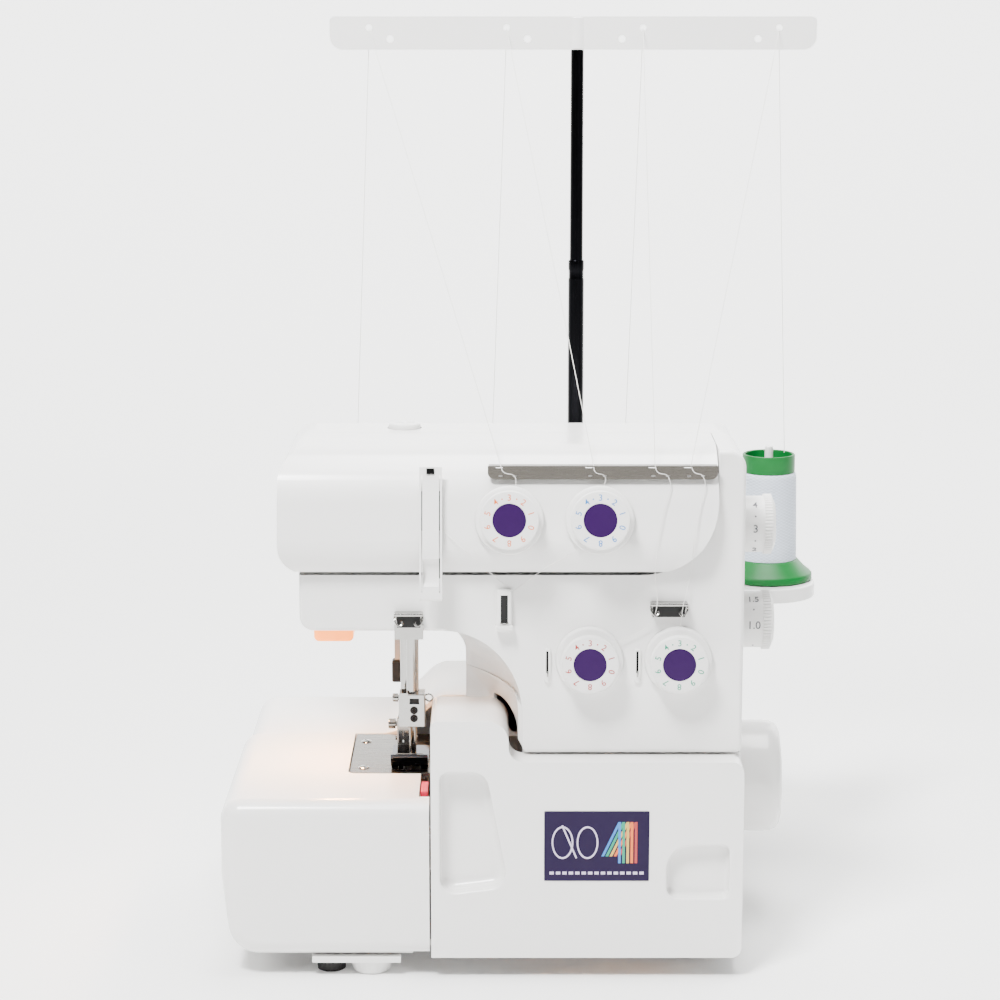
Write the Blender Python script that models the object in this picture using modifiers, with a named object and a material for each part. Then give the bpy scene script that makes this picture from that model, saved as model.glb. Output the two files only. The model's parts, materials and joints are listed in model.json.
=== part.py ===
"""Four-thread serger (overlock sewing machine), as an assembly of separate pieces.

Metres in the scene, +Z up. The machine faces -Y and its origin is on the surface it stands
on, under the middle of its bounding box. Every number below is in millimetres: the helpers
turn them into metres. Each piece is one closed solid, and pieces that touch keep GAP apart.
"""

import math

import bmesh
import bpy
from mathutils import Matrix, Vector

MM = 0.001
GAP = 0.3

# Driving dimensions: the body.
LEFT = -178.0  # outer face of the cloth table
RIGHT = 115.0  # right face of the column and base
FRONT = -128.0  # front plane, the face of the looper cover
FACE = FRONT + 14  # front face of the column under the upper cover
SPLIT = FACE + 61  # where the front and rear covers of the head meet
HEAD_BACK = 22.0
BASE_SPLIT = 15.0  # where the rear base cover starts
BASE_BACK = 106.0
SKIRT = 12.0  # lower edge of every cover
BED_TOP = 103.0
COVER_TOP = 126.5
HUMP_TOP = 150.0
UNDERSIDE = 187.0  # under the head
HEAD_FRONT_BOTTOM = 198.0
STEP_LINE = 228.5  # where the upper front cover starts
HEAD_TOP = 300.0
HEAD_LEFT = -143.5
COLUMN_LEFT = -40.5
WALL = 3.0

# Driving dimensions: seams between the table and the looper cover.
SEAM = -60.5
PLATE_LEFT = -108.5
PLATE_FRONT = -70.0
PLATE_BACK = 14.5

# Driving dimensions: needle and presser group.
NEEDLE_X = -71.8
NEEDLE_Y = -48.0
PRESSER_X = -76.0
PRESSER_Y = -34.0
BAR_RADIUS = 3.6

# Driving dimensions: drive.
SHAFT_Y = -3.0
SHAFT_Z = 82.0
SHAFT_RADIUS = 5.0
MOTOR_Y = 55.0
MOTOR_Z = 50.0
MOTOR_PULLEY_RADIUS = 10.0
SHAFT_PULLEY_RADIUS = 20.0
HANDWHEEL_RADIUS = 33.5

# Driving dimensions: dials.
DIAL_RADIUS = 16.3
DIAL_COLLAR_RADIUS = 19.0
DIAL_LENGTH = 13.0
DIAL_TILT = math.radians(10)
UPPER_DIALS = ((-15.7, 263.0), (34.0, 263.0))
LOWER_DIALS = ((29.1, 182.0), (78.6, 182.0))
SIDE_DIAL_Y = -63.0
SIDE_DIAL_RADIUS = 17.3
SIDE_DIAL_LENGTH = 21.0
STITCH_DIAL_Z = 249.0
FEED_DIAL_Z = 193.0

# Driving dimensions: thread stand.
TRAY_LEFT = -127.5
TRAY_RIGHT = 178.0
TRAY_FRONT = 62.0
TRAY_BACK = 138.6
TRAY_TOP = 182.0
SPOOL_Y = 98.0
SPOOLS_X = (-100.5, -16.5, 66.5, 148.5)
POLE_X = 26.5
POLE_Y = 97.0
POLE_JOINT_Z = 384.0
BAR_LEFT = -124.5
BAR_RIGHT = 172.0
BAR_BOTTOM = 513.0
BAR_TOP = 533.0
EYELETS_X = (-100.5, -16.8, 66.3, 149.1)
THREAD_RADIUS = 0.25

ROUND = 32
SMALL_ROUND = 16

WHITE = ("glossy white ABS", "#EDEDEB", 0.25, 0.0)
PLATE_STEEL = ("brushed steel", "#A9A39B", 0.35, 1.0)
CHROME = ("chromed steel", "#C9CBCE", 0.12, 1.0)
CASTING = ("die-cast aluminium", "#9DA0A3", 0.5, 1.0)
BLACK = ("black plastic", "#17171A", 0.4, 0.0)
RUBBER = ("black rubber", "#1B1B1B", 0.8, 0.0)
RED = ("red plastic", "#D4304A", 0.35, 0.0)
GREEN = ("green plastic", "#00A35E", 0.3, 0.0)
LENS = ("warm lamp lens", "#FFC98A", 0.3, 0.0)
COTTON = ("white thread", "#F2F2F0", 0.8, 0.0)


def clear_scene():
    for thing in list(bpy.data.objects):
        bpy.data.objects.remove(thing)


def new_collection(name):
    collection = bpy.data.collections.new(name)
    bpy.context.scene.collection.children.link(collection)
    return collection


clear_scene()
MACHINE = new_collection("serger_overlock_machine")
CUTTERS = new_collection("cutters")


# --- helpers ---------------------------------------------------------------


def linear(channel):
    return channel / 12.92 if channel <= 0.04045 else ((channel + 0.055) / 1.055) ** 2.4


def material(finish):
    """The Principled material of one finish: name, sRGB colour, roughness, metallic."""
    name, colour, roughness, metallic = finish
    found = bpy.data.materials.get(name)
    if found:
        return found
    made = bpy.data.materials.new(name)
    made.use_nodes = True
    shader = made.node_tree.nodes["Principled BSDF"]
    red, green, blue = (linear(int(colour[i : i + 2], 16) / 255) for i in (1, 3, 5))
    shader.inputs["Base Color"].default_value = (red, green, blue, 1)
    shader.inputs["Roughness"].default_value = roughness
    shader.inputs["Metallic"].default_value = metallic
    made.diffuse_color = (red, green, blue, 1)
    return made


def link(name, mesh, finish):
    piece = bpy.data.objects.new(name, mesh)
    mesh.materials.append(material(finish))
    MACHINE.objects.link(piece)
    return piece


def finish_mesh(name, shape, finish):
    mesh = bpy.data.meshes.new(name)
    shape.to_mesh(mesh)
    shape.free()
    return link(name, mesh, finish)


def round_edges(piece, width, segments=2):
    """Rounds the sharp edges of a piece."""
    bevel = piece.modifiers.new("rounded edges", "BEVEL")
    bevel.width = width * MM
    bevel.segments = segments
    bevel.limit_method = "ANGLE"
    bevel.angle_limit = math.radians(50)
    return piece


def box(name, low, high, finish=WHITE, edge=0.0, segments=2):
    """A block between two corners."""
    shape = bmesh.new()
    bmesh.ops.create_cube(shape, size=1)
    low, high = Vector(low) * MM, Vector(high) * MM
    bmesh.ops.scale(shape, vec=high - low, verts=shape.verts)
    bmesh.ops.translate(shape, vec=(high + low) / 2, verts=shape.verts)
    piece = finish_mesh(name, shape, finish)
    return round_edges(piece, edge, segments) if edge else piece


def rod(name, start, end, radius, finish=CHROME, sides=SMALL_ROUND, end_radius=None):
    """A round bar, or a taper, between two points."""
    start, end = Vector(start) * MM, Vector(end) * MM
    shape = bmesh.new()
    bmesh.ops.create_cone(
        shape,
        cap_ends=True,
        segments=sides,
        radius1=radius * MM,
        radius2=(radius if end_radius is None else end_radius) * MM,
        depth=(end - start).length,
    )
    turn = (end - start).to_track_quat("Z", "Y").to_matrix().to_4x4()
    shape.transform(Matrix.Translation((start + end) / 2) @ turn)
    piece = finish_mesh(name, shape, finish)
    piece.data.shade_smooth()
    piece.data.set_sharp_from_angle(angle=math.radians(40))
    return piece


def turned(name, profile, place, axis=(0, 0, 1), finish=WHITE, steps=ROUND, ring=False):
    """A turned piece. The profile holds (radius, height) pairs from top to bottom; a ring's
    profile goes on round to its start, so that the ring has a bore."""
    count = len(profile)
    mesh = bpy.data.meshes.new(name)
    edges = [(i, (i + 1) % count) for i in range(count if ring else count - 1)]
    mesh.from_pydata([(r * MM, 0, h * MM) for r, h in profile], edges, [])
    piece = link(name, mesh, finish)
    piece.location = Vector(place) * MM
    piece.rotation_euler = Vector(axis).to_track_quat("Z", "Y").to_euler()
    screw = piece.modifiers.new("turned", "SCREW")
    screw.steps = screw.render_steps = steps
    screw.use_merge_vertices = True
    screw.merge_threshold = 0.00001
    screw.use_smooth_shade = True
    return piece


def rounded(corners, arc_step=22.5):
    """The points of a closed outline, each corner (u, v, radius) turned into an arc."""
    points = []
    for index, (u, v, radius) in enumerate(corners):
        here = Vector((u, v))
        back = (Vector(corners[index - 1][:2]) - here).normalized()
        on = (Vector(corners[(index + 1) % len(corners)][:2]) - here).normalized()
        if not radius:
            points.append(here)
            continue
        half = back.angle(on) / 2
        centre = here + (back + on).normalized() * radius / math.sin(half)
        start = here + back * radius / math.tan(half) - centre
        turn = math.atan2(back.cross(on), back.dot(on))
        turn = math.copysign(math.pi - abs(turn), -turn)
        steps = max(2, round(abs(math.degrees(turn)) / arc_step))
        for step in range(steps + 1):
            spin = Matrix.Rotation(turn * step / steps, 2)
            points.append(centre + spin @ start)
    return points


def inset(corners, wall):
    """The outline moved in by one wall. Its corners run counter-clockwise."""
    moved = []
    for index, (u, v, radius) in enumerate(corners):
        here = Vector((u, v))
        arriving = (here - Vector(corners[index - 1][:2])).normalized()
        leaving = (Vector(corners[(index + 1) % len(corners)][:2]) - here).normalized()
        in_1 = Vector((-arriving.y, arriving.x))
        in_2 = Vector((-leaving.y, leaving.x))
        place = here + (in_1 + in_2) * wall / (1 + in_1.dot(in_2))
        hollow = arriving.cross(leaving) < 0
        grown = radius + wall if hollow else max(radius - wall, 0)
        moved.append((place.x, place.y, grown if radius else 0))
    return moved


TURNS = {
    "X": Matrix(((0, 0, 1, 0), (1, 0, 0, 0), (0, 1, 0, 0), (0, 0, 0, 1))),
    "Y": Matrix(((1, 0, 0, 0), (0, 0, -1, 0), (0, 1, 0, 0), (0, 0, 0, 1))),
    "Z": Matrix.Identity(4),
}


def prism(name, corners, axis, low, high, finish=WHITE):
    """An outline pushed from low to high along an axis: (y, z) outlines along X, (x, z)
    outlines along Y and (x, y) outlines along Z."""
    points = rounded(corners)
    curve = bpy.data.curves.new(name, "CURVE")
    curve.dimensions = "2D"
    curve.fill_mode = "BOTH"
    curve.extrude = (high - low) / 2 * MM
    spline = curve.splines.new("POLY")
    spline.points.add(len(points) - 1)
    for target, point in zip(spline.points, points):
        target.co = (point.x * MM, point.y * MM, 0, 1)
    spline.use_cyclic_u = True
    return curve_to_mesh(name, curve, axis, (low + high) / 2, finish)


def curve_to_mesh(name, curve, axis, middle, finish):
    """A curve's evaluated shape as a mesh piece, with its caps welded on."""
    guide = bpy.data.objects.new(name + "_curve", curve)
    CUTTERS.objects.link(guide)
    graph = bpy.context.evaluated_depsgraph_get()
    mesh = bpy.data.meshes.new_from_object(guide.evaluated_get(graph))
    mesh.name = name
    bpy.data.objects.remove(guide)
    shape = bmesh.new()
    shape.from_mesh(mesh)
    bmesh.ops.remove_doubles(shape, verts=shape.verts, dist=0.000001)
    shift = {"X": (middle, 0, 0), "Y": (0, middle, 0), "Z": (0, 0, middle)}[axis]
    shape.transform(Matrix.Translation(Vector(shift) * MM) @ TURNS[axis])
    bmesh.ops.recalc_face_normals(shape, faces=shape.faces)
    if shape.calc_volume(signed=True) < 0:
        bmesh.ops.reverse_faces(shape, faces=shape.faces)
    shape.to_mesh(mesh)
    shape.free()
    mesh.materials.clear()
    return link(name, mesh, finish)


def put_away(tool):
    """Makes a piece a hidden helper of another piece's Boolean."""
    MACHINE.objects.unlink(tool)
    CUTTERS.objects.link(tool)
    tool.hide_render = True
    tool.display_type = "WIRE"


def combine(piece, operation, *tools):
    for tool in tools:
        modifier = piece.modifiers.new(tool.name, "BOOLEAN")
        modifier.operation = operation
        modifier.object = tool
        put_away(tool)
    return piece


def cut(piece, *tools):
    return combine(piece, "DIFFERENCE", *tools)


def join(piece, *tools):
    return combine(piece, "UNION", *tools)


def joint(name, place, *pieces):
    """An empty on a joint's axis, which carries the pieces that move there."""
    empty = bpy.data.objects.new(name, None)
    empty.location = Vector(place) * MM
    empty.empty_display_size = 0.01
    MACHINE.objects.link(empty)
    for piece in pieces:
        piece.parent = empty
        piece.matrix_parent_inverse = Matrix.Translation(-empty.location)
    return empty


def soften_rim(piece, axis, level, radius, segments=3):
    """Rounds the edges round a piece's end face at one level along an axis."""
    index = "XYZ".index(axis)
    shape = bmesh.new()
    shape.from_mesh(piece.data)
    bmesh.ops.dissolve_limit(
        shape, angle_limit=0.01, verts=shape.verts, edges=shape.edges
    )
    rim = [
        edge
        for edge in shape.edges
        if all(abs(vert.co[index] - level * MM) < 0.000001 for vert in edge.verts)
        and edge.calc_face_angle(0) > math.radians(45)
    ]
    bmesh.ops.bevel(
        shape,
        geom=rim,
        offset=radius * MM,
        segments=segments,
        profile=0.5,
        affect="EDGES",
        clamp_overlap=False,
    )
    shape.to_mesh(piece.data)
    shape.free()
    return piece


# --- base ------------------------------------------------------------------

ROD_Y = FRONT + 8
ROD_Z = 17.0
LEG_X = -93.9
LEG_Y = -112.0
PAN_BOTTOM = 8.0
PAN_TOP = 11.5
FEET = {
    "rubber_foot_front_left": (-117, -110),
    "rubber_foot_front_right": (92, -88),
    "rubber_foot_rear_left": (-142, 84),
    "rubber_foot_rear_right": (94, 84),
}


def base_pan():
    """The bottom plate, with its tapered front leg and the lugs of the looper cover's rod."""
    corners = [(-160, -96, 14), (108, -96, 10), (108, 98, 10), (-160, 98, 14)]
    pan = prism("base_pan", corners, "Z", PAN_BOTTOM, PAN_TOP, CASTING)
    tongue = box("pan_tongue", (-127, -125, PAN_BOTTOM), (-77, -95, PAN_TOP))
    leg = rod("pan_leg", (LEG_X, LEG_Y, 0.4), (LEG_X, LEG_Y, 9), 10.5, sides=24, end_radius=13)
    cradle = box("motor_cradle", (40, 43, 10), (78, 67, 23.6))
    join(pan, tongue, leg, cradle)
    for number, x in enumerate((-38, 88)):
        post = box(f"lug_post_{number}", (x - 4, -100, 9), (x + 4, -94, ROD_Z + 3.5))
        arm = box(f"lug_{number}", (x - 4, ROD_Y - 4, ROD_Z - 3), (x + 4, -95, ROD_Z + 3.5))
        join(pan, post, arm)
    ends = (-60, ROD_Y, ROD_Z), (112, ROD_Y, ROD_Z)
    return cut(pan, rod("lug_bore", *ends, 2.5))


def rubber_feet():
    for name, (x, y) in FEET.items():
        rod(name, (x, y, 0), (x, y, PAN_BOTTOM - GAP), 8, RUBBER, 20, 9)


def side_cover():
    """The cloth table on the left: an open-bottomed shell that slides off to the left."""
    corners = [
        (-173, SKIRT, 18),
        (SEAM, SKIRT, 0),
        (SEAM, BED_TOP, 0),
        (LEFT, BED_TOP, 10),
        (LEFT, 58, 30),
    ]
    back = BASE_SPLIT - GAP
    shell = prism("side_cover", corners, "Y", FRONT, back)
    soften_rim(shell, "Y", FRONT, 9)
    hollow = prism("side_hollow", inset(corners, WALL), "Y", FRONT + WALL, back + 1)
    soften_rim(hollow, "Y", FRONT + WALL, 6)
    seam_side = box("side_open", (-70, FRONT + WALL, 8), (-50, back + 1, BED_TOP - WALL))
    bottom = box("side_bottom", (-152, FRONT + 12, 5), (-65, back + 1, 20))
    notch = box("plate_notch", (PLATE_LEFT, PLATE_FRONT, 90), (-50, back + 1, 110))
    knob_gap = box("knob_gap", (-66.5, FRONT + 12, 90), (-50, PLATE_FRONT + 1, 110))
    return cut(shell, hollow, seam_side, bottom, notch, knob_gap)


def rear_base_cover():
    """The shell round the motor, behind the table and under the column."""
    corners = [
        (-175, SKIRT, 14),
        (RIGHT, SKIRT, 6),
        (RIGHT, 127, 8),
        (-60, 127, 16),
        (-84, BED_TOP, 20),
        (-175, BED_TOP, 10),
    ]
    front = BASE_SPLIT + GAP
    shell = prism("rear_base_cover", corners, "Y", front, BASE_BACK)
    soften_rim(shell, "Y", BASE_BACK, 5)
    hollow = prism("rear_hollow", inset(corners, WALL), "Y", front - 1, BASE_BACK - WALL)
    bottom = box("rear_bottom", (-160, front - 1, 5), (107, BASE_BACK - 10, 20))
    return cut(shell, hollow, bottom)


def belt_cover():
    """The cap over the loopers and the belt, under the column, with the right side wall."""
    front = FRONT + 21.5
    low = (COLUMN_LEFT, front, SKIRT)
    high = (RIGHT, BASE_SPLIT - GAP, COVER_TOP + 0.7)
    shell = box("belt_cover", low, high, WHITE, 1.5)
    inner = (COLUMN_LEFT + WALL, front - 1, 5), (RIGHT - WALL, BASE_SPLIT + 1, high[2] - WALL)
    hollow = box("belt_hollow", *inner)
    left = box("belt_left_open", (-50, front - 1, 5), (0, BASE_SPLIT + 1, BED_TOP + 1))
    corner = box("hump_room", (-50, front - 1, 5), (-8, -66, 140))
    frame_room = box("belt_frame_room", (-37, 1, 120), (79, BASE_SPLIT + 1, 130))
    bore_ends = (100, SHAFT_Y, SHAFT_Z), (120, SHAFT_Y, SHAFT_Z)
    return cut(shell, hollow, left, corner, frame_room, rod("shaft_hole", *bore_ends, 7))


# --- covers of the head and column -------------------------------------------

BULGE_RIGHT = 99.5
BULGE_CORNER = 42.0
ARCH_RADIUS = 40.0
ARCH_X = -8.0
COLUMN_BOTTOM = COVER_TOP + 1.3


def front_cover():
    """The face of the head's lower strip and of the column, with the arch between them."""
    edge = BULGE_RIGHT + 0.5
    corners = [
        (ARCH_X, COLUMN_BOTTOM, 0),
        (RIGHT, COLUMN_BOTTOM, 4),
        (RIGHT, HEAD_TOP, 10),
        (edge, HEAD_TOP, 0),
        (edge, STEP_LINE, BULGE_CORNER + 0.5),
        (HEAD_LEFT + 11, STEP_LINE, 0),
        (HEAD_LEFT + 11, HEAD_FRONT_BOTTOM, 8),
        (ARCH_X, HEAD_FRONT_BOTTOM, ARCH_RADIUS),
    ]
    back = SPLIT - GAP
    shell = prism("front_cover", corners, "Y", FACE, back)
    soften_rim(shell, "Y", FACE, 2.5, 2)
    hollow = prism("front_hollow", inset(corners, WALL), "Y", FACE + WALL, back + 1)
    cut(shell, hollow)
    low = (COLUMN_LEFT, back - WALL, COLUMN_BOTTOM)
    return join(shell, box("arch_back", low, (ARCH_X + 2, back, HEAD_FRONT_BOTTOM + 1)))


BULGE_PROFILE = [
    (FACE, 229, 0),
    (SPLIT - GAP, 229, 0),
    (SPLIT - GAP, HEAD_TOP, 0),
    (FRONT + 12, HEAD_TOP, 34),
    (FRONT + 1.5, 240, 20),
]
BULGE_OUTLINE = [
    (HEAD_LEFT, 229, 18),
    (BULGE_RIGHT, 229, BULGE_CORNER),
    (BULGE_RIGHT, HEAD_TOP, 0),
    (HEAD_LEFT, HEAD_TOP, 18),
]


def double_prism(name, outline, profile, ends):
    """The solid that has one outline from the front and one profile from the side."""
    left, right, front, back = ends
    solid = prism(name, outline, "Y", front, back)
    return combine(solid, "INTERSECT", prism(name + "_side", profile, "X", left, right))


def upper_front_cover():
    """The proud, convex cover that carries the two needle dials."""
    ends = HEAD_LEFT - 5, BULGE_RIGHT + 5, FRONT - 5, SPLIT - GAP
    shell = double_prism("upper_front_cover", BULGE_OUTLINE, BULGE_PROFILE, ends)
    outline = [
        (HEAD_LEFT + WALL, 220, 0),
        (BULGE_RIGHT - WALL, 220, BULGE_CORNER),
        (BULGE_RIGHT - WALL, HEAD_TOP - WALL, 0),
        (HEAD_LEFT + WALL, HEAD_TOP - WALL, 15),
    ]
    profile = inset(BULGE_PROFILE, WALL)
    profile[0] = (FACE + 6, 220, 0)
    profile[1] = (SPLIT + 2, 220, 0)
    profile[2] = (SPLIT + 2, HEAD_TOP - WALL, 0)
    ends = HEAD_LEFT - 5, BULGE_RIGHT + 5, FRONT - 5, SPLIT + 1
    return cut(shell, double_prism("bulge_hollow", outline, profile, ends))


REAR_OUTLINE = [
    (COLUMN_LEFT, COLUMN_BOTTOM, 4),
    (RIGHT, COLUMN_BOTTOM, 4),
    (RIGHT, HEAD_TOP, 12),
    (HEAD_LEFT, HEAD_TOP, 18),
    (HEAD_LEFT, UNDERSIDE, 12),
    (COLUMN_LEFT, UNDERSIDE, 16),
]


def rear_cover():
    """The back half of the head and column, whose top rolls over at the back."""
    profile = [
        (SPLIT, COLUMN_BOTTOM, 0),
        (HEAD_BACK, COLUMN_BOTTOM, 4),
        (HEAD_BACK, HEAD_TOP, 42),
        (SPLIT, HEAD_TOP, 0),
    ]
    ends = HEAD_LEFT - 5, RIGHT + 5, SPLIT, HEAD_BACK + 1
    shell = double_prism("rear_cover", REAR_OUTLINE, profile, ends)
    inner = inset(profile, WALL)
    inner[0] = (SPLIT - 2, inner[0][1], 0)
    inner[3] = (SPLIT - 2, inner[3][1], 0)
    ends = HEAD_LEFT - 5, RIGHT + 5, SPLIT - 1, HEAD_BACK + 1
    hollow = double_prism("rear_cover_hollow", inset(REAR_OUTLINE, WALL), inner, ends)
    holes = [
        rod("needle_hole", (NEEDLE_X, NEEDLE_Y, 180), (NEEDLE_X, NEEDLE_Y, 195), 5.6),
        rod("presser_hole", (PRESSER_X, PRESSER_Y, 180), (PRESSER_X, PRESSER_Y, 195), 5.6),
        rod("screw_hole", (PRESSER_X, PRESSER_Y, 290), (PRESSER_X, PRESSER_Y, 305), 10, sides=24),
        box("rear_frame_room", (-37, 1, 120), (79, 15, 134)),
    ]
    return cut(shell, hollow, *holes)


def lamp_lens():
    return box("lamp_lens", (-129, -50, 183.4), (-106, -24, UNDERSIDE - GAP), LENS, 1)


def looper_cover():
    """The front door: a panel with a deep hump on its left, a scoop and a thumb recess."""
    right = RIGHT + 0.5
    hump_left, hump_right = SEAM + 1, -16
    corners = [
        (hump_left, SKIRT, 0),
        (right, SKIRT, 6),
        (right, COVER_TOP, 7),
        (hump_right, COVER_TOP, 8),
        (hump_right, HUMP_TOP, 12),
        (hump_left, HUMP_TOP, 12),
    ]
    panel_back = FRONT + 20
    hump_back = FRONT + 57
    door = prism("looper_cover", corners, "Y", FRONT, panel_back)
    soften_rim(door, "Y", FRONT, 5)
    hump = [
        (hump_left, 104, 0),
        (hump_right, 104, 0),
        (hump_right, HUMP_TOP, 12),
        (hump_left, HUMP_TOP, 12),
    ]
    join(door, prism("hump", hump, "Y", FRONT + 10, hump_back))
    hollow = prism("door_hollow", inset(corners, WALL), "Y", FRONT + WALL, hump_back + 1)
    left_low, left_high = (hump_left - 2, FRONT + WALL, 98), (-50, hump_back + 1, 139)
    cut(
        door,
        hollow,
        box("hump_left_open", left_low, left_high),
        box("door_bottom", (-56, FRONT + WALL, 5), (right - WALL, hump_back, 16)),
    )
    scoop_back = box("scoop_back", (-57.5, FRONT + 1, 52), (-11, FRONT + 15.5, 127))
    thumb_back = box("thumb_back", (69, FRONT + 1, 43), (right - 1, FRONT + 10, 83))
    join(door, scoop_back, thumb_back)
    thumb = [(73, 47, 6), (108, 47, 4), (108, 78, 4), (73, 78, 14)]
    return cut(
        door,
        rod("scoop", (-34, FRONT - 10, 57), (-34, FRONT - 10, 122), 22, sides=ROUND),
        prism("thumb_recess", thumb, "Y", FRONT - 1, FRONT + 7),
    )


def looper_cover_rod():
    return rod("looper_cover_rod", (-54, ROD_Y, ROD_Z), (110, ROD_Y, ROD_Z), 2, CHROME, 12)


# --- frame and drive ---------------------------------------------------------


def machine_frame():
    """The casting that holds the shaft, the needle bar and the presser bar."""
    frame = box("machine_frame", (-34, 4, PAN_TOP + GAP), (76, 12, 272), CASTING)
    blocks = {
        "rail": ((-100, -64, PAN_TOP + GAP), (92, 12, 17)),
        "arm": ((-110, 4, 238), (76, 12, 272)),
        "left_bearing": ((-34, -13, 72), (-24, 5, 92)),
        "right_bearing": ((62, -13, 72), (72, 5, 92)),
        "head_lug": ((-90, -58, 206), (-62, 6, 222)),
        "head_web": ((-90, 4, 206), (-62, 12, 240)),
        "bed_rail": ((-104, -66, 88), (-88, 12, BED_TOP - 1.9)),
        "bed_post": ((-104, -20, 12), (-88, 0, 90)),
    }
    join(frame, *(box(name, *corners) for name, corners in blocks.items()))
    return cut(
        frame,
        rod("shaft_bore", (-62, SHAFT_Y, SHAFT_Z), (96, SHAFT_Y, SHAFT_Z), 5.5),
        rod("needle_bore", (NEEDLE_X, NEEDLE_Y, 200), (NEEDLE_X, NEEDLE_Y, 230), 4.1),
        rod("presser_bore", (PRESSER_X, PRESSER_Y, 200), (PRESSER_X, PRESSER_Y, 230), 4.1),
    )


def pulley(radius):
    """The rim of a grooved belt pulley, as (radius, x) pairs from right to left."""
    floor = radius - 2.4
    return [
        (radius, 110),
        (radius, 108.5),
        (floor, 107),
        (floor, 100.5),
        (radius, 99),
        (radius, 97),
    ]


def main_shaft():
    rim = pulley(SHAFT_PULLEY_RADIUS)
    ends = [(0, 137), (SHAFT_RADIUS, 137), (SHAFT_RADIUS, 110)]
    tail = [(SHAFT_RADIUS, 97), (SHAFT_RADIUS, -58), (0, -58)]
    profile = ends + rim + tail
    place = (0, SHAFT_Y, SHAFT_Z)
    return turned("main_shaft", profile, place, (1, 0, 0), CASTING, 24)


def handwheel():
    bore = SHAFT_RADIUS + 0.3
    r = HANDWHEEL_RADIUS
    profile = [
        (0, 30),
        (r - 13, 29.3),
        (r - 6, 27),
        (r - 1.8, 21.5),
        (r, 14),
        (r, 3),
        (r - 2, 0),
        (bore, 0),
        (bore, 20),
        (0, 20),
    ]
    return turned("handwheel", profile, (RIGHT + 2.5, SHAFT_Y, SHAFT_Z), (1, 0, 0))


def motor_and_pulley():
    ends = (20, MOTOR_Y, MOTOR_Z), (92.5, MOTOR_Y, MOTOR_Z)
    rod("motor", *ends, 26, CASTING, 28)
    profile = [(0, 110), *pulley(MOTOR_PULLEY_RADIUS), (4, 97), (4, 93), (0, 93)]
    return turned(
        "motor_pulley", profile, (0, MOTOR_Y, MOTOR_Z), (1, 0, 0), CASTING, SMALL_ROUND
    )


def belt_outline(lift):
    """The tight loop round both pulleys, lift above the floors of their grooves."""
    big = Vector((SHAFT_Y, SHAFT_Z))
    small = Vector((MOTOR_Y, MOTOR_Z))
    big_radius = SHAFT_PULLEY_RADIUS - 2.4 + lift
    small_radius = MOTOR_PULLEY_RADIUS - 2.4 + lift
    away = big - small
    heading = math.atan2(away.y, away.x)
    half = math.acos((big_radius - small_radius) / away.length)
    points = []
    for centre, radius, start, end in (
        (big, big_radius, heading - math.pi + half, heading + math.pi - half),
        (small, small_radius, heading + math.pi - half, heading + math.pi + half),
    ):
        for step in range(13):
            angle = start + (end - start) * step / 12
            points.append((centre.x + radius * math.cos(angle), centre.y + radius * math.sin(angle), 0))
    return points


def drive_belt():
    belt = prism("drive_belt", belt_outline(2.2), "X", 101.2, 106.4, RUBBER)
    return cut(belt, prism("belt_inside", belt_outline(0.4), "X", 100, 108))


# --- needle, presser and stitching parts -------------------------------------

CLAMP_BOTTOM = 126.0
CLAMP_TOP = 146.0
FOOT_BOTTOM = BED_TOP + 0.4
FOOT_PIN_Z = 114.0


def needle_bar():
    bar = rod(
        "needle_bar",
        (NEEDLE_X, NEEDLE_Y, CLAMP_TOP + GAP),
        (NEEDLE_X, NEEDLE_Y, 262),
        BAR_RADIUS,
    )
    low = (NEEDLE_X - 8, NEEDLE_Y - 6.5, CLAMP_BOTTOM)
    high = (NEEDLE_X + 7.5, NEEDLE_Y + 6.5, CLAMP_TOP)
    clamp = box("needle_clamp", low, high, CHROME, 1)
    needles = []
    for name, x in (("needle_left", -73.2), ("needle_right", -70.4)):
        top, tip = (x, NEEDLE_Y, CLAMP_BOTTOM - GAP), (x, NEEDLE_Y, 92)
        needles.append(rod(name, top, tip, 0.9, CHROME, 8, 0.3))
    return [bar, clamp, *needles]


def presser_bar():
    top = (PRESSER_X, PRESSER_Y, 280)
    bar = rod("presser_bar", (PRESSER_X, PRESSER_Y, 125), top, BAR_RADIUS)
    low = (PRESSER_X - 5.5, PRESSER_Y - 5.5, 111.5)
    high = (PRESSER_X + 5.5, PRESSER_Y + 4.5, 128)
    fork = (PRESSER_X - 2.2, PRESSER_Y - 7, 110), (PRESSER_X + 2.2, PRESSER_Y + 7, 121)
    join(bar, box("ankle", low, high))
    return cut(bar, box("ankle_fork", *fork))


def presser_foot():
    """The sole, with an upturned toe, a bevelled heel and a slot for the needles."""
    sole = [
        (-60, FOOT_BOTTOM, 0),
        (PRESSER_Y, FOOT_BOTTOM, 0),
        (-23, FOOT_BOTTOM + 2.2, 0),
        (-23, 107, 0),
        (-62, 107, 0),
        (-64.5, 105.4, 0),
    ]
    foot = prism("presser_foot", sole, "X", -84.5, -62.5, CHROME)
    slot = box("needle_slot", (-76, -54, 100), (-67.5, -42.5, 110))
    cut(foot, slot)
    low = (PRESSER_X - 1.7, PRESSER_Y - 3.5, 106)
    high = (PRESSER_X + 1.7, PRESSER_Y + 3.5, 118.5)
    return join(foot, box("foot_tab", low, high))


def presser_lifter():
    """The lever behind the needle, with its hub across the machine and a hanging tip."""
    hub = rod("presser_lifter", (-86, 6, 178), (-79.5, 6, 178), 5, BLACK)
    return join(hub, box("lifter_arm", (-84.8, 3, 139), (-81, 9, 177), BLACK, 1))


def pressure_screw():
    profile = [(0, 3.2), (8.4, 3.2), (9.3, 2.4), (9.3, -9), (0, -9)]
    place = (PRESSER_X, PRESSER_Y, HEAD_TOP)
    return turned("pressure_screw", profile, place, steps=24)


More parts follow.
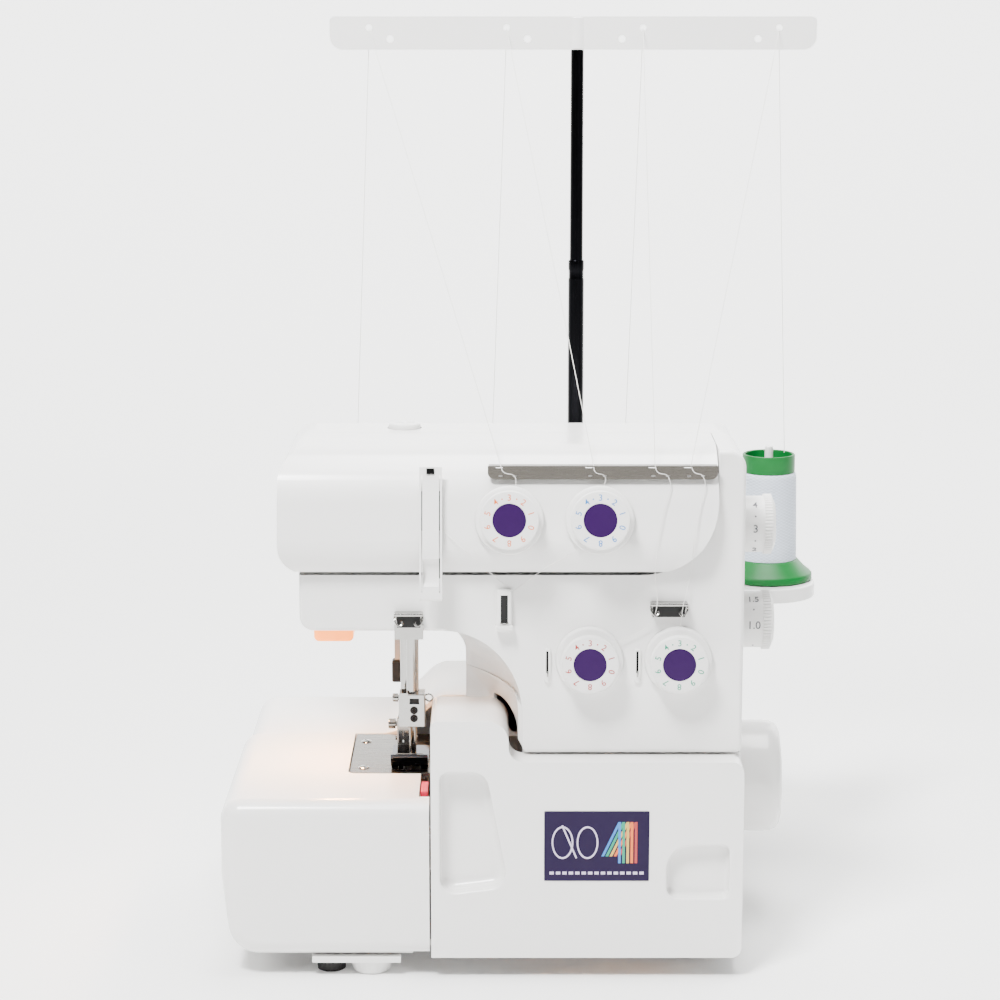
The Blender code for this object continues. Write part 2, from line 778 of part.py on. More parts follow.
def take_up_lever():
    hub = rod("take_up_lever", (-64, -80, 240), (-55, -80, 240), 5)
    return join(hub, box("take_up_arm", (-60.2, -115, 237.8), (-57.7, -78, 242.2)))


def take_up_cover():
    profile = [
        (-131.5, 219, 2),
        (-127.2, 219, 0),
        (-127.2, 241, 0),
        (-118.6, 290, 0),
        (-121.5, 293.5, 0),
        (-131.5, 247, 20),
    ]
    return prism("take_up_cover", profile, "X", -65, -52.5)


def needle_plate():
    corners = [
        (PLATE_LEFT + 0.5, PLATE_FRONT + 0.5, 12),
        (-61, PLATE_FRONT + 0.5, 0),
        (-61, PLATE_BACK - 0.5, 0),
        (PLATE_LEFT + 0.5, PLATE_BACK - 0.5, 6),
    ]
    plate = prism("needle_plate", corners, "Z", BED_TOP - 1.6, BED_TOP, PLATE_STEEL)
    return cut(plate, box("feed_slot", (-81.5, -64, 95), (-63, -20, 110)))


def feed_dog():
    bar_left = box("feed_dog", (-80, -60, 96.5), (-76.6, -26, BED_TOP - 0.4), CASTING)
    bar_right = box("feed_right", (-67.4, -60, 96.5), (-64.4, -26, BED_TOP - 0.4))
    bridge = box("feed_bridge", (-80, -32, 92), (-64.4, -26, 98))
    return join(bar_left, bridge, bar_right)


def looper(name, hub, arm, front, back):
    """A looper: a hub on a fore-and-aft axis, and a flat arm that ends in a hook."""
    x, z = hub
    piece = rod(name, (x, front - 2, z), (x, back + 3, z), 5, CHROME)
    blade = prism(name + "_arm", [(*point, 0) for point in arm], "Y", front, back)
    return join(piece, blade)


UPPER_LOOPER_HUB = (-10, 60)
LOWER_LOOPER_HUB = (-28, 45)


def loopers():
    upper_arm = [(-13, 55), (-6, 63), (-38, 88), (-55, 97.5), (-42, 84)]
    lower_arm = [(-33, 43), (-24, 49), (-42, 84), (-63, 94), (-49, 79)]
    upper = looper("upper_looper", UPPER_LOOPER_HUB, upper_arm, -54, -51.6)
    lower = looper("lower_looper", LOWER_LOOPER_HUB, lower_arm, -44.6, -42.2)
    return upper, lower


def knives():
    lower = box("lower_knife", (-60.6, -68, 70), (-58.6, -58, BED_TOP - 0.3), CASTING)
    upper = box("upper_knife", (-57.8, -67, 84), (-55.6, -58, 108), CASTING)
    join(upper, box("knife_arm", (-57, -65, 84), (-30, -60, 88)))
    return upper, lower


def stitch_finger_knob():
    knob = box("stitch_finger_knob", (-65.8, -106, 98), (-61.6, -86, BED_TOP), RED, 0.8)
    return join(knob, box("knob_stem", (-64.8, -100, 88), (-62.6, -92, 99)))


# --- dials and thread guides ---------------------------------------------------


def tension_dial(name, x, z, upper):
    """A tension dial, whose axis on the upper cover leans back with the cover's face."""
    profile = [
        (0, DIAL_LENGTH - 0.6),
        (9.2, DIAL_LENGTH - 0.6),
        (9.2, DIAL_LENGTH),
        (DIAL_RADIUS - 1.3, DIAL_LENGTH),
        (DIAL_RADIUS, DIAL_LENGTH - 1.3),
        (DIAL_RADIUS, 4.5),
        (DIAL_COLLAR_RADIUS, 3),
        (DIAL_COLLAR_RADIUS, 0),
        (0, 0),
    ]
    lean = DIAL_TILT if upper else 0
    y = FRONT + 1.5 + (z - 240) * math.tan(DIAL_TILT) - 0.6 if upper else FACE - GAP
    return turned(name, profile, (x, y, z), (0, -math.cos(lean), math.sin(lean)), steps=28)


def tension_dials():
    names = "left_needle_dial", "right_needle_dial"
    for name, (x, z) in zip(names, UPPER_DIALS):
        tension_dial(name, x, z, True)
    names = "upper_looper_dial", "lower_looper_dial"
    for name, (x, z) in zip(names, LOWER_DIALS):
        tension_dial(name, x, z, False)


def side_dials():
    length = SIDE_DIAL_LENGTH
    radius = SIDE_DIAL_RADIUS
    profile = [
        (0, length),
        (radius - 3, length),
        (radius, length - 2.2),
        (radius, length - 7),
        (radius - 1.2, length - 7.4),
        (radius - 1.2, 0),
        (0, 0),
    ]
    for name, z in (("stitch_length_dial", STITCH_DIAL_Z), ("differential_feed_dial", FEED_DIAL_Z)):
        turned(name, profile, (RIGHT + GAP, SIDE_DIAL_Y, z), (1, 0, 0), steps=28)


def thread_guide_plate():
    corners = [(-27.5, 285, 3), (99, 285, 3), (99, 292.5, 0), (-27.5, 292.5, 0)]
    return prism("thread_guide_plate", corners, "Y", -119.2, -117.8, PLATE_STEEL)


def needle_thread_guide():
    guide = box("needle_thread_guide", (-23, -119, 200), (-13.8, FACE - GAP, 223), WHITE, 1)
    return cut(guide, box("guide_slot", (-20.2, -120, 204), (-16.6, -115.5, 219)))


def looper_thread_guide():
    low, high = (62.5, -116, 208), (83.5, FACE - GAP, 215)
    guide = box("looper_thread_guide", low, high, CHROME, 0.5)
    hooks = [
        box(f"guide_hook_{x}", (x - 3, -121, 209), (x + 3, -115, 212)) for x in (66, 80)
    ]
    return join(guide, *hooks)


# --- thread stand --------------------------------------------------------------

SPOOL_BOTTOM = TRAY_TOP + GAP
SPOOL_TOP = 262.0
PIN_RADIUS = 3.2


def spool_tray():
    """The tray behind the column, with its arms, its four pins and a recessed underside."""
    corners = [
        (TRAY_LEFT, TRAY_FRONT, 30),
        (TRAY_RIGHT, TRAY_FRONT, 30),
        (TRAY_RIGHT, TRAY_BACK, 30),
        (TRAY_LEFT, TRAY_BACK, 30),
    ]
    tray = prism("spool_tray", corners, "Z", 173, TRAY_TOP)
    cut(tray, prism("tray_recess", inset(corners, WALL), "Z", 172, TRAY_TOP - WALL))
    for number, x in enumerate((-24, 76)):
        low, high = (x - 12, HEAD_BACK + GAP, 170), (x + 12, 90, TRAY_TOP - 1)
        join(tray, box(f"tray_arm_{number}", low, high))
    for number, x in enumerate(SPOOLS_X, 1):
        ends = (x, SPOOL_Y, TRAY_TOP - 1), (x, SPOOL_Y, 267.5)
        join(tray, rod(f"spool_pin_{number}", *ends, PIN_RADIUS, sides=12, end_radius=2.6))
    return tray


def spool(number, x):
    """A green core with a flared base and a ring on top, wound with white thread."""
    bore = PIN_RADIUS + 0.7
    height = SPOOL_TOP - SPOOL_BOTTOM
    profile = [
        (bore, height),
        (15.5, height),
        (16.5, height - 1),
        (16.5, height - 9),
        (17.4, height - 10.5),
        (18.3, 18),
        (19.5, 15),
        (26, 8),
        (28.5, 4),
        (28.5, 0),
        (bore, 0),
    ]
    place = (x, SPOOL_Y, SPOOL_BOTTOM)
    return turned(f"thread_spool_{number}", profile, place, finish=GREEN, steps=24, ring=True)


def pole():
    outer = [(4.9, POLE_JOINT_Z), (4.9, TRAY_TOP + GAP), (4.45, TRAY_TOP + GAP), (4.45, POLE_JOINT_Z)]
    place = (POLE_X, POLE_Y, 0)
    turned("thread_stand_outer_pole", outer, place, finish=BLACK, steps=16, ring=True)
    ends = (POLE_X, POLE_Y, 350), (POLE_X, POLE_Y, 528.5)
    return rod("thread_stand_inner_pole", *ends, 4.1, BLACK)


def thread_guide_bar():
    """The plate across the top of the pole, with four slotted eyelets and a socket."""
    corners = [
        (BAR_LEFT, BAR_BOTTOM, 7),
        (BAR_RIGHT, BAR_BOTTOM, 7),
        (BAR_RIGHT, BAR_TOP, 3),
        (BAR_LEFT, BAR_TOP, 3),
    ]
    bar = prism("thread_guide_bar", corners, "Y", 88.6, 91)
    low, high = (POLE_X - 7, 90, 514), (POLE_X + 7, 104, 532)
    join(bar, box("bar_socket", low, high, WHITE, 1.5))
    cut(bar, rod("pole_bore", (POLE_X, POLE_Y, 505), (POLE_X, POLE_Y, 529), 4.5))
    for number, x in enumerate(EYELETS_X):
        hole = rod(f"eyelet_{number}", (x, 80, 526), (x, 95, 526), 2.2, sides=12)
        slot = box(f"eyelet_slot_{number}", (x - 0.8, 80, 526), (x + 0.8, 95, 540))
        cut(bar, hole, slot)
    return bar


THREAD_STARTS = (-110.8, -26.0, 57.5, 158.2)
THREAD_ENDS = (-20.5, 30.5, 64.3, 84.1)


def thread(number, start, eyelet, end):
    """A taut thread from its spool, up through the guide bar and down to the plate."""
    lower = Vector((start, SPOOL_Y, SPOOL_TOP + 0.6))
    ring = [Vector((eyelet, y, z)) for y, z in ((92.4, 525.2), (89.8, 525.8), (87.2, 525.2))]
    last = Vector((end, -118.5, 293))
    path = [lower.lerp(ring[0], step / 4) for step in range(4)]
    path += ring
    path += [ring[2].lerp(last, step / 4) for step in range(1, 5)]
    curve = bpy.data.curves.new(f"thread_{number}", "CURVE")
    curve.dimensions = "3D"
    curve.bevel_depth = THREAD_RADIUS * MM
    curve.bevel_resolution = 2
    curve.use_fill_caps = True
    spline = curve.splines.new("POLY")
    spline.points.add(len(path) - 1)
    for target, point in zip(spline.points, path):
        target.co = (*(point * MM), 1)
    piece = bpy.data.objects.new(f"thread_{number}", curve)
    curve.materials.append(material(COTTON))
    MACHINE.objects.link(piece)
    return piece


# --- power ---------------------------------------------------------------------


def power_panel():
    wall = RIGHT + GAP
    panel = box("power_inlet", (wall, 38, 24), (wall + 4, 96, 52), BLACK, 1)
    socket = box("inlet_socket", (wall + 1, 66, 29), (wall + 6, 90, 47))
    room = box("switch_room", (wall - 1, 42, 28), (wall + 6, 60, 48))
    cut(panel, socket, room)
    return box("power_switch", (wall + 1.2, 43, 29.5), (wall + 5, 59, 46.5), BLACK, 0.6)


# --- assembly ------------------------------------------------------------------


def build():
    base_pan()
    rubber_feet()
    cover = side_cover()
    joint("side_cover_slide", (LEFT, FRONT, SKIRT), cover)
    rear_base_cover()
    belt_cover()
    front_cover()
    upper_front_cover()
    rear_cover()
    lamp_lens()
    carrier = joint("looper_cover_slide", (26, ROD_Y, ROD_Z), looper_cover_rod())
    hinge = joint("looper_cover_hinge", (26, ROD_Y, ROD_Z), looper_cover())
    hinge.parent = carrier
    hinge.matrix_parent_inverse = Matrix.Translation(-carrier.location)
    machine_frame()
    joint("handwheel_axis", (RIGHT, SHAFT_Y, SHAFT_Z))
    main_shaft()
    handwheel()
    motor_and_pulley()
    drive_belt()
    joint("needle_bar_slide", (NEEDLE_X, NEEDLE_Y, CLAMP_TOP), *needle_bar())
    presser = presser_bar()
    joint("presser_bar_lift", (PRESSER_X, PRESSER_Y, 128), presser)
    joint("presser_foot_hinge", (PRESSER_X, PRESSER_Y, FOOT_PIN_Z), presser_foot())
    joint("presser_lifter_hinge", (-82, 6, 178), presser_lifter())
    pressure_screw()
    joint("take_up_hinge", (-59, -80, 240), take_up_lever())
    take_up_cover()
    needle_plate()
    joint("feed_dog_slide", (-72, -43, 97), feed_dog())
    upper, lower = loopers()
    joint("upper_looper_hinge", (UPPER_LOOPER_HUB[0], -53, UPPER_LOOPER_HUB[1]), upper)
    joint("lower_looper_hinge", (LOWER_LOOPER_HUB[0], -43, LOWER_LOOPER_HUB[1]), lower)
    upper_knife, _ = knives()
    joint("upper_knife_slide", (-57, -62, 86), upper_knife)
    joint("stitch_finger_slide", (-63.5, -96, 96), stitch_finger_knob())
    tension_dials()
    side_dials()
    thread_guide_plate()
    needle_thread_guide()
    looper_thread_guide()
    spool_tray()
    for number, x in enumerate(SPOOLS_X, 1):
        spool(number, x)
    joint("pole_slide", (POLE_X, POLE_Y, POLE_JOINT_Z), pole(), thread_guide_bar())
    for number, ends in enumerate(zip(THREAD_STARTS, EYELETS_X, THREAD_ENDS), 1):
        thread(number, *ends)
    joint("power_switch_hinge", (RIGHT + GAP + 1.2, 51, 38), power_panel())


build()
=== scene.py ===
"""Looks of a white four-thread overlock machine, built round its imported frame."""

import json
import math

import bmesh
import bpy
from bpy.props import FloatProperty, FloatVectorProperty, IntProperty, PointerProperty
from bpy.types import Operator, Panel, PropertyGroup
from mathutils import Matrix, Vector

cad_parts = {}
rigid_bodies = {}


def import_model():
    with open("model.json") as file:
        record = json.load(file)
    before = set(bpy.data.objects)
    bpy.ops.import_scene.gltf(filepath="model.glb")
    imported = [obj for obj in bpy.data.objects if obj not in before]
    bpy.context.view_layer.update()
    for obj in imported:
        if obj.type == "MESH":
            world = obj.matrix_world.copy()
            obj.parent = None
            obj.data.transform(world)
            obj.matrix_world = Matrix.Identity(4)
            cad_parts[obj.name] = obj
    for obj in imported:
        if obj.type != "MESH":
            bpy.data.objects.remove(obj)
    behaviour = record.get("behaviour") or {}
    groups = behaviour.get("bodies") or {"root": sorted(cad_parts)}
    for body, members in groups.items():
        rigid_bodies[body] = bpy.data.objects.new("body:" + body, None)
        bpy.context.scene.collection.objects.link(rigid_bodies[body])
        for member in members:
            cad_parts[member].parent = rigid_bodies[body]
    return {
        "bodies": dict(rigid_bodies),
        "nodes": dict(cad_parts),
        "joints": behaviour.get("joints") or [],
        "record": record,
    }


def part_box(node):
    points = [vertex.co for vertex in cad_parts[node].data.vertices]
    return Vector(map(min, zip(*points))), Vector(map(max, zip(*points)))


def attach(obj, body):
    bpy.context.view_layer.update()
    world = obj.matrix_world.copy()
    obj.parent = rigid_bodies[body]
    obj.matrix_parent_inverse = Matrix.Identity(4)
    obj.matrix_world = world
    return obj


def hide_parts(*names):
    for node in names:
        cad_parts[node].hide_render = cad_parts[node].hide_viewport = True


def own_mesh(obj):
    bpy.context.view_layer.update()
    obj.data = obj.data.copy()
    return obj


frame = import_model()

bl_info = {
    "name": "Overlock Machine Maker",
    "version": (1, 0, 0),
    "blender": (4, 5, 0),
    "location": "View3D > Sidebar > Overlock",
    "description": "Models the covers, dials, spools and fittings of an overlock machine",
    "category": "Add Mesh",
}

MM = 0.001
SIDES = 64  # sides of a turned piece
FINE = 8  # segments of a rounded corner


def corner(node, which):
    """A corner of a frame node's box, in millimetres: 0 is the lowest and 1 the highest."""
    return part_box(node)[which] / MM


# Planes and axes of the machine, in millimetres, read from the frame.
LEFT, FRONT, SKIRT = corner("side_cover", 0)
RIGHT = corner("rear_base_cover", 1).x
SEAM, TABLE_BACK, BED_TOP = corner("side_cover", 1)
BASE_BACK = corner("rear_base_cover", 1).y
COVER_TOP = corner("belt_cover", 1).z
FACE = corner("front_cover", 0).y
SPLIT = corner("rear_cover", 0).y
HEAD_BACK, HEAD_TOP = corner("rear_cover", 1).yz
HEAD_LEFT, _, STEP_LINE = corner("upper_front_cover", 0)
BULGE_RIGHT = corner("upper_front_cover", 1).x
COLUMN_BOTTOM = corner("front_cover", 0).z
COLUMN_LEFT = corner("belt_cover", 0).x
HUMP_TOP = corner("looper_cover", 1).z
UNDERSIDE = 187.0  # of the head, over the cloth table
WALL = 3.0  # thickness of a moulded cover
NEEDLE_AXIS = (-71.8, -48)  # x and y of the needle bar
PRESSER_AXIS = (-76, -34)  # x and y of the presser bar
POLE_AXIS = (26.5, 97)  # x and y of the thread stand
SHAFT_AXIS = (-3, 82)  # y and z of the main shaft
DIAL_TILT = math.radians(10)


# --- sizes and colours a user can change ------------------------------------


class OVERLOCK_sizes(PropertyGroup):
    """Sizes of the visible shapes."""

    table_edge: FloatProperty(
        name="Table edge", description="Radius of the cloth table's front edge",
        default=0.010, min=0.004, max=0.014, unit="LENGTH")
    door_edge: FloatProperty(
        name="Door edge", description="Radius round the front door's face",
        default=0.0045, min=0.001, max=0.008, unit="LENGTH")
    seam_edge: FloatProperty(
        name="Seam edge", description="Radius of the covers' edges along a seam",
        default=0.0008, min=0.0002, max=0.002, unit="LENGTH")
    arch_radius: FloatProperty(
        name="Arch radius", description="Radius of the arch between the head and the column",
        default=0.040, min=0.030, max=0.045, unit="LENGTH")
    dial_ribs: IntProperty(
        name="Dial ribs", description="Grip ribs round each side dial", default=56, min=24, max=90)
    thread_thickness: FloatProperty(
        name="Thread", description="Diameter that the threads are drawn at",
        default=0.00042, min=0.0002, max=0.001, unit="LENGTH")
    bobbin_turns: IntProperty(
        name="Thread ridges", description="Ridges of wound thread up a spool",
        default=34, min=10, max=60)


def linear(code):
    """The linear values of a colour written as a hex screen colour."""
    values = [int(code[place:place + 2], 16) / 255 for place in (1, 3, 5)]
    return [value / 12.92 if value < 0.04045 else ((value + 0.055) / 1.055) ** 2.4
            for value in values]


def colour_property(name, description, code):
    """A colour picker with a hex default."""
    return FloatVectorProperty(
        name=name, description=description, subtype="COLOR", size=3, min=0, max=1,
        default=linear(code))


class OVERLOCK_colours(PropertyGroup):
    """Colours of the parts that differ from one machine to the next."""

    cover: colour_property("Cover", "Moulded covers", "#EBEAE8")
    centre: colour_property("Dial centre", "Discs in the tension dials", "#2A0842")
    badge: colour_property("Badge", "Panel on the front door", "#170430")
    spool: colour_property("Spool", "Plastic cores of the spools", "#006428")
    knob: colour_property("Knob", "Small knob beside the needle plate", "#D02A4A")


# --- modelling helpers --------------------------------------------------------


def rest():
    """Object mode, with nothing selected."""
    if bpy.context.object and bpy.context.object.mode != "OBJECT":
        bpy.ops.object.mode_set(mode="OBJECT")
    bpy.ops.object.select_all(action="DESELECT")


def pick(piece):
    """Makes a piece the only selected one."""
    rest()
    piece.select_set(True)
    bpy.context.view_layer.objects.active = piece
    return piece


def named(name):
    """Names the active object and its data."""
    piece = bpy.context.object
    piece.name = piece.data.name = name
    return piece


def settle(piece):
    """Puts a piece's place, turn and size into its mesh."""
    pick(piece)
    bpy.ops.object.transform_apply(location=True, rotation=True, scale=True)
    return piece


def block(name, low, high):
    """A box between two corners, in millimetres."""
    rest()
    low, high = Vector(low) * MM, Vector(high) * MM
    bpy.ops.mesh.primitive_cube_add(size=1, location=(low + high) / 2, scale=high - low)
    return settle(named(name))


def ball(name, centre, radii, segments=SIDES):
    """An ellipsoid with a radius along each axis."""
    rest()
    bpy.ops.mesh.primitive_uv_sphere_add(
        segments=segments, ring_count=segments // 2, radius=1,
        location=Vector(centre) * MM, scale=Vector(radii) * MM)
    return settle(named(name))


def aim(piece, place, axis):
    """Turns a piece that was made along +Z at the origin to an axis, and places it."""
    piece.rotation_euler = Vector(axis).to_track_quat("Z", "Y").to_euler()
    piece.location = Vector(place) * MM
    return settle(piece)


def bar(name, start, end, radius, sides=32, end_radius=None):
    """A round bar, or a taper, from start to end."""
    rest()
    start, end = Vector(start), Vector(end)
    bpy.ops.mesh.primitive_cone_add(
        vertices=sides, radius1=radius * MM,
        radius2=(radius if end_radius is None else end_radius) * MM,
        depth=(end - start).length * MM)
    return aim(named(name), (start + end) / 2, end - start)


def edit(piece, mode="EDGE"):
    """Edit mode with nothing selected, and the mesh that the next operator works on."""
    pick(piece)
    bpy.ops.object.mode_set(mode="EDIT")
    bpy.ops.mesh.select_mode(type=mode)
    bpy.ops.mesh.select_all(action="DESELECT")
    return bmesh.from_edit_mesh(piece.data)


def choose(piece, parts, test):
    """Selects the vertices, edges or faces that pass a test."""
    found = False
    for part in parts:
        if test(part):
            part.select_set(True)
            found = True
    bmesh.update_edit_mesh(piece.data)
    return found


def close_edit():
    """Back to object mode."""
    bpy.ops.object.mode_set(mode="OBJECT")


def stretched(piece, value, centre):
    """Resizes a piece's mesh about a point."""
    edit(piece)
    bpy.ops.mesh.select_all(action="SELECT")
    bpy.ops.transform.resize(value=value, center_override=Vector(centre) * MM)
    close_edit()
    return piece


def round_where(piece, test, radius, segments=FINE):
    """Rounds the edges that pass a test."""
    shape = edit(piece)
    if choose(piece, shape.edges, test):
        bpy.ops.mesh.bevel(
            offset=radius * MM, segments=segments, profile=0.5, affect="EDGES",
            clamp_overlap=True)
    close_edit()
    return piece


def on_level(axis, level):
    """Test for the sharp edges that lie in one plane."""
    index = "XYZ".index(axis)

    def test(edge):
        flat = all(abs(vert.co[index] / MM - level) < 0.02 for vert in edge.verts)
        return flat and edge.calc_face_angle(0) > math.radians(40)

    return test


def sharp(edge):
    """Test for an edge whose faces meet at more than 40 degrees."""
    return edge.calc_face_angle(0) > math.radians(40)


def modify(piece, kind, **settings):
    """Adds one modifier and applies it."""
    pick(piece)
    modifier = piece.modifiers.new(kind, kind)
    for name, value in settings.items():
        setattr(modifier, name, value)
    bpy.ops.object.modifier_apply(modifier=modifier.name)
    return piece


def combine(piece, operation, *tools):
    """Applies a Boolean with each tool in turn, and removes the tools."""
    for tool in tools:
        modify(piece, "BOOLEAN", operation=operation, object=tool, solver="EXACT")
        bpy.data.objects.remove(tool)
    return piece


def cut(piece, *tools):
    """Takes the tools out of a piece."""
    return combine(piece, "DIFFERENCE", *tools)


def join(piece, *tools):
    """Welds the tools onto a piece."""
    return combine(piece, "UNION", *tools)


def group(name, pieces):
    """Joins loose pieces into one object, without welding them."""
    rest()
    for piece in pieces:
        piece.select_set(True)
    bpy.context.view_layer.objects.active = pieces[0]
    bpy.ops.object.join()
    return named(name)


def copied(piece, name):
    """A copy of a piece, with its own mesh."""
    pick(piece)
    bpy.ops.object.duplicate(linked=False)
    return named(name)


def repeated(piece, moves):
    """Copies of a piece, each moved from where it stands; the piece itself is the last."""
    twins = [copied(piece, piece.name) for _ in moves[1:]] + [piece]
    for twin, move in zip(twins, moves):
        twin.location = Vector(move) * MM
        settle(twin)
    return twins


def sets_of(pieces, count):
    """Sets of copies of a few pieces; the pieces themselves are the last set."""
    for left in reversed(range(count)):
        yield [copied(piece, piece.name) if left else piece for piece in pieces]


# Turns that lay an outline drawn in the XY plane square to each axis.
AXIS_TURNS = {
    "X": (math.radians(90), 0, math.radians(90)),
    "Y": (math.radians(90), 0, 0),
    "Z": (0, 0, 0),
}


def slab(name, corners, axis, low, high, segments=FINE):
    """A flat outline with rounded corners (u, v, radius), pushed from low to high along an
    axis. Outlines are (y, z) along X, (x, z) along Y and (x, y) along Z, counter-clockwise."""
    rest()
    bpy.ops.mesh.primitive_circle_add(vertices=len(corners), fill_type="NGON")
    piece = named(name)
    for vert, (u, v, _) in zip(piece.data.vertices, corners):
        vert.co = (u * MM, v * MM, 0)
    for index, (u, v, radius) in enumerate(corners):
        if not radius:
            continue
        here = Vector((u, v))
        back = Vector(corners[index - 1][:2]) - here
        on = Vector(corners[(index + 1) % len(corners)][:2]) - here
        shape = edit(piece, "VERT")
        place = here * MM
        choose(piece, shape.verts, lambda vert: (vert.co.xy - place).length < 0.00001)
        bpy.ops.mesh.bevel(
            offset=radius / math.tan(back.angle(on) / 2) * MM, segments=segments,
            profile=0.5, affect="VERTICES", clamp_overlap=False)
        close_edit()
    edit(piece, "FACE")
    bpy.ops.mesh.select_all(action="SELECT")
    bpy.ops.mesh.extrude_region_move(TRANSFORM_OT_translate={"value": (0, 0, (high - low) * MM)})
    bpy.ops.mesh.select_all(action="SELECT")
    bpy.ops.mesh.normals_make_consistent(inside=False)
    close_edit()
    piece.location.z = -high * MM if axis == "Y" else low * MM
    settle(piece)
    piece.rotation_euler = AXIS_TURNS[axis]
    return settle(piece)


def inset(corners, wall):
    """The outline moved in by one wall."""
    moved = []
    for index, (u, v, radius) in enumerate(corners):
        here = Vector((u, v))
        arriving = (here - Vector(corners[index - 1][:2])).normalized()
        leaving = (Vector(corners[(index + 1) % len(corners)][:2]) - here).normalized()
        in_1 = Vector((-arriving.y, arriving.x))
        in_2 = Vector((-leaving.y, leaving.x))
        place = here + (in_1 + in_2) * wall / (1 + in_1.dot(in_2))
        grown = radius + wall if arriving.cross(leaving) < 0 else max(radius - wall, 0)
        moved.append((place.x, place.y, grown if radius else 0))
    return moved


def turned(name, profile, place, axis=(0, 0, 1), steps=SIDES):
    """A turned piece from (radius, height) pairs, top to bottom, spun round its axis."""
    rest()
    bpy.ops.mesh.primitive_circle_add(vertices=len(profile), fill_type="NOTHING")
    piece = named(name)
    for vert, (radius, height) in zip(piece.data.vertices, profile):
        vert.co = (radius * MM, 0, height * MM)
    open_ended = profile[0][0] == 0 and profile[-1][0] == 0
    shape = edit(piece)
    ends = {tuple(round(value, 7) for value in (profile[i][0] * MM, 0, profile[i][1] * MM))
            for i in (0, -1)}
    if open_ended:
        choose(piece, shape.edges, lambda edge: {
            tuple(round(value, 7) for value in vert.co) for vert in edge.verts} == ends)
        bpy.ops.mesh.delete(type="EDGE")
    bpy.ops.mesh.select_all(action="SELECT")
    bpy.ops.mesh.spin(steps=steps, angle=2 * math.pi, center=(0, 0, 0), axis=(0, 0, 1))
    bpy.ops.mesh.select_all(action="SELECT")
    bpy.ops.mesh.remove_doubles(threshold=0.000001)
    bpy.ops.mesh.normals_make_consistent(inside=False)
    close_edit()
    return aim(piece, place, axis)


def wire(name, points, radius, cyclic=False, sides=3, smooth=True):
    """A round wire along a curve through points, made a mesh."""
    curve = bpy.data.curves.new(name, "CURVE")
    curve.dimensions = "3D"
    curve.bevel_depth = radius * MM
    curve.bevel_resolution = sides
    curve.use_fill_caps = True
    curve.resolution_u = 8
    spline = curve.splines.new("BEZIER" if smooth else "POLY")
    if smooth:
        spline.bezier_points.add(len(points) - 1)
        for target, point in zip(spline.bezier_points, points):
            target.co = Vector(point) * MM
            target.handle_left_type = target.handle_right_type = "AUTO"
    else:
        spline.points.add(len(points) - 1)
        for target, point in zip(spline.points, points):
            target.co = (*(Vector(point) * MM), 1)
    spline.use_cyclic_u = cyclic
    piece = bpy.data.objects.new(name, curve)
    bpy.context.scene.collection.objects.link(piece)
    pick(piece)
    bpy.ops.object.convert(target="MESH")
    return bpy.context.object


def done(piece, material, body, slot, *nodes, angle=35, flat=False):
    """Shades a finished piece, gives it its material, and ties it to the frame."""
    settle(piece)
    if not flat:
        bpy.ops.object.shade_smooth_by_angle(angle=math.radians(angle), keep_sharp_edges=True)
        modify(piece, "WEIGHTED_NORMAL", keep_sharp=True, weight=60)
    piece.data.materials.clear()
    piece.data.materials.append(material)
    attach(piece, body)
    if nodes:
        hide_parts(*nodes)
    return piece


# --- materials ----------------------------------------------------------------


def add(tree, kind, inputs=None, **settings):
    """Adds a node. An input is a value, or a socket to link from."""
    made = tree.nodes.new("ShaderNode" + kind)
    for name, value in settings.items():
        setattr(made, name, value)
    for name, value in (inputs or {}).items():
        if isinstance(value, bpy.types.NodeSocket):
            tree.links.new(value, made.inputs[name])
        else:
            made.inputs[name].default_value = value
    return made


def surface(name, colour, **inputs):
    """A material with its main shader and the object's own coordinates, in metres."""
    material = bpy.data.materials.new(name)
    material.use_nodes = True
    tree = material.node_tree
    shader = tree.nodes["Principled BSDF"]
    shader.inputs["Base Color"].default_value = (*colour, 1)
    for key, value in inputs.items():
        shader.inputs[key.replace("_", " ")].default_value = value
    place = add(tree, "TexCoord").outputs["Object"]
    return material, tree, shader, place


def spread(tree, value, low, high):
    """Maps a 0 to 1 socket to a range."""
    return add(tree, "MapRange", {"Value": value, "To Min": low, "To Max": high}).outputs[0]


def tint(tree, value, dark, light):
    """Mixes two colours by a socket."""
    return add(tree, "Mix", {0: value, 6: (*dark, 1), 7: (*light, 1)}, data_type="RGBA").outputs[2]


def darker(colour, share):
    """The same colour with less light."""
    return [value * share for value in colour]


def moulded(name, colour, gloss=0.3, grain=900, depth=0.00001, coat=0.0, shade=0.95, shine=0.5):
    """Moulded plastic: a colour that drifts a little, uneven gloss and a fine skin."""
    material, tree, shader, place = surface(
        name, colour, Coat_Weight=coat, Coat_Roughness=0.12, Specular_IOR_Level=shine)
    drift = add(tree, "TexNoise", {"Vector": place, "Scale": 22, "Detail": 2}).outputs["Fac"]
    tree.links.new(tint(tree, drift, darker(colour, shade), colour), shader.inputs["Base Color"])
    smear = add(tree, "TexNoise", {"Vector": place, "Scale": 60, "Detail": 4}).outputs["Fac"]
    tree.links.new(spread(tree, smear, gloss * 0.8, gloss * 1.25), shader.inputs["Roughness"])
    skin = add(tree, "TexNoise", {"Vector": place, "Scale": grain, "Detail": 2}).outputs["Fac"]
    bump = add(tree, "Bump", {"Height": skin, "Strength": 0.35, "Distance": depth})
    tree.links.new(bump.outputs[0], shader.inputs["Normal"])
    return material


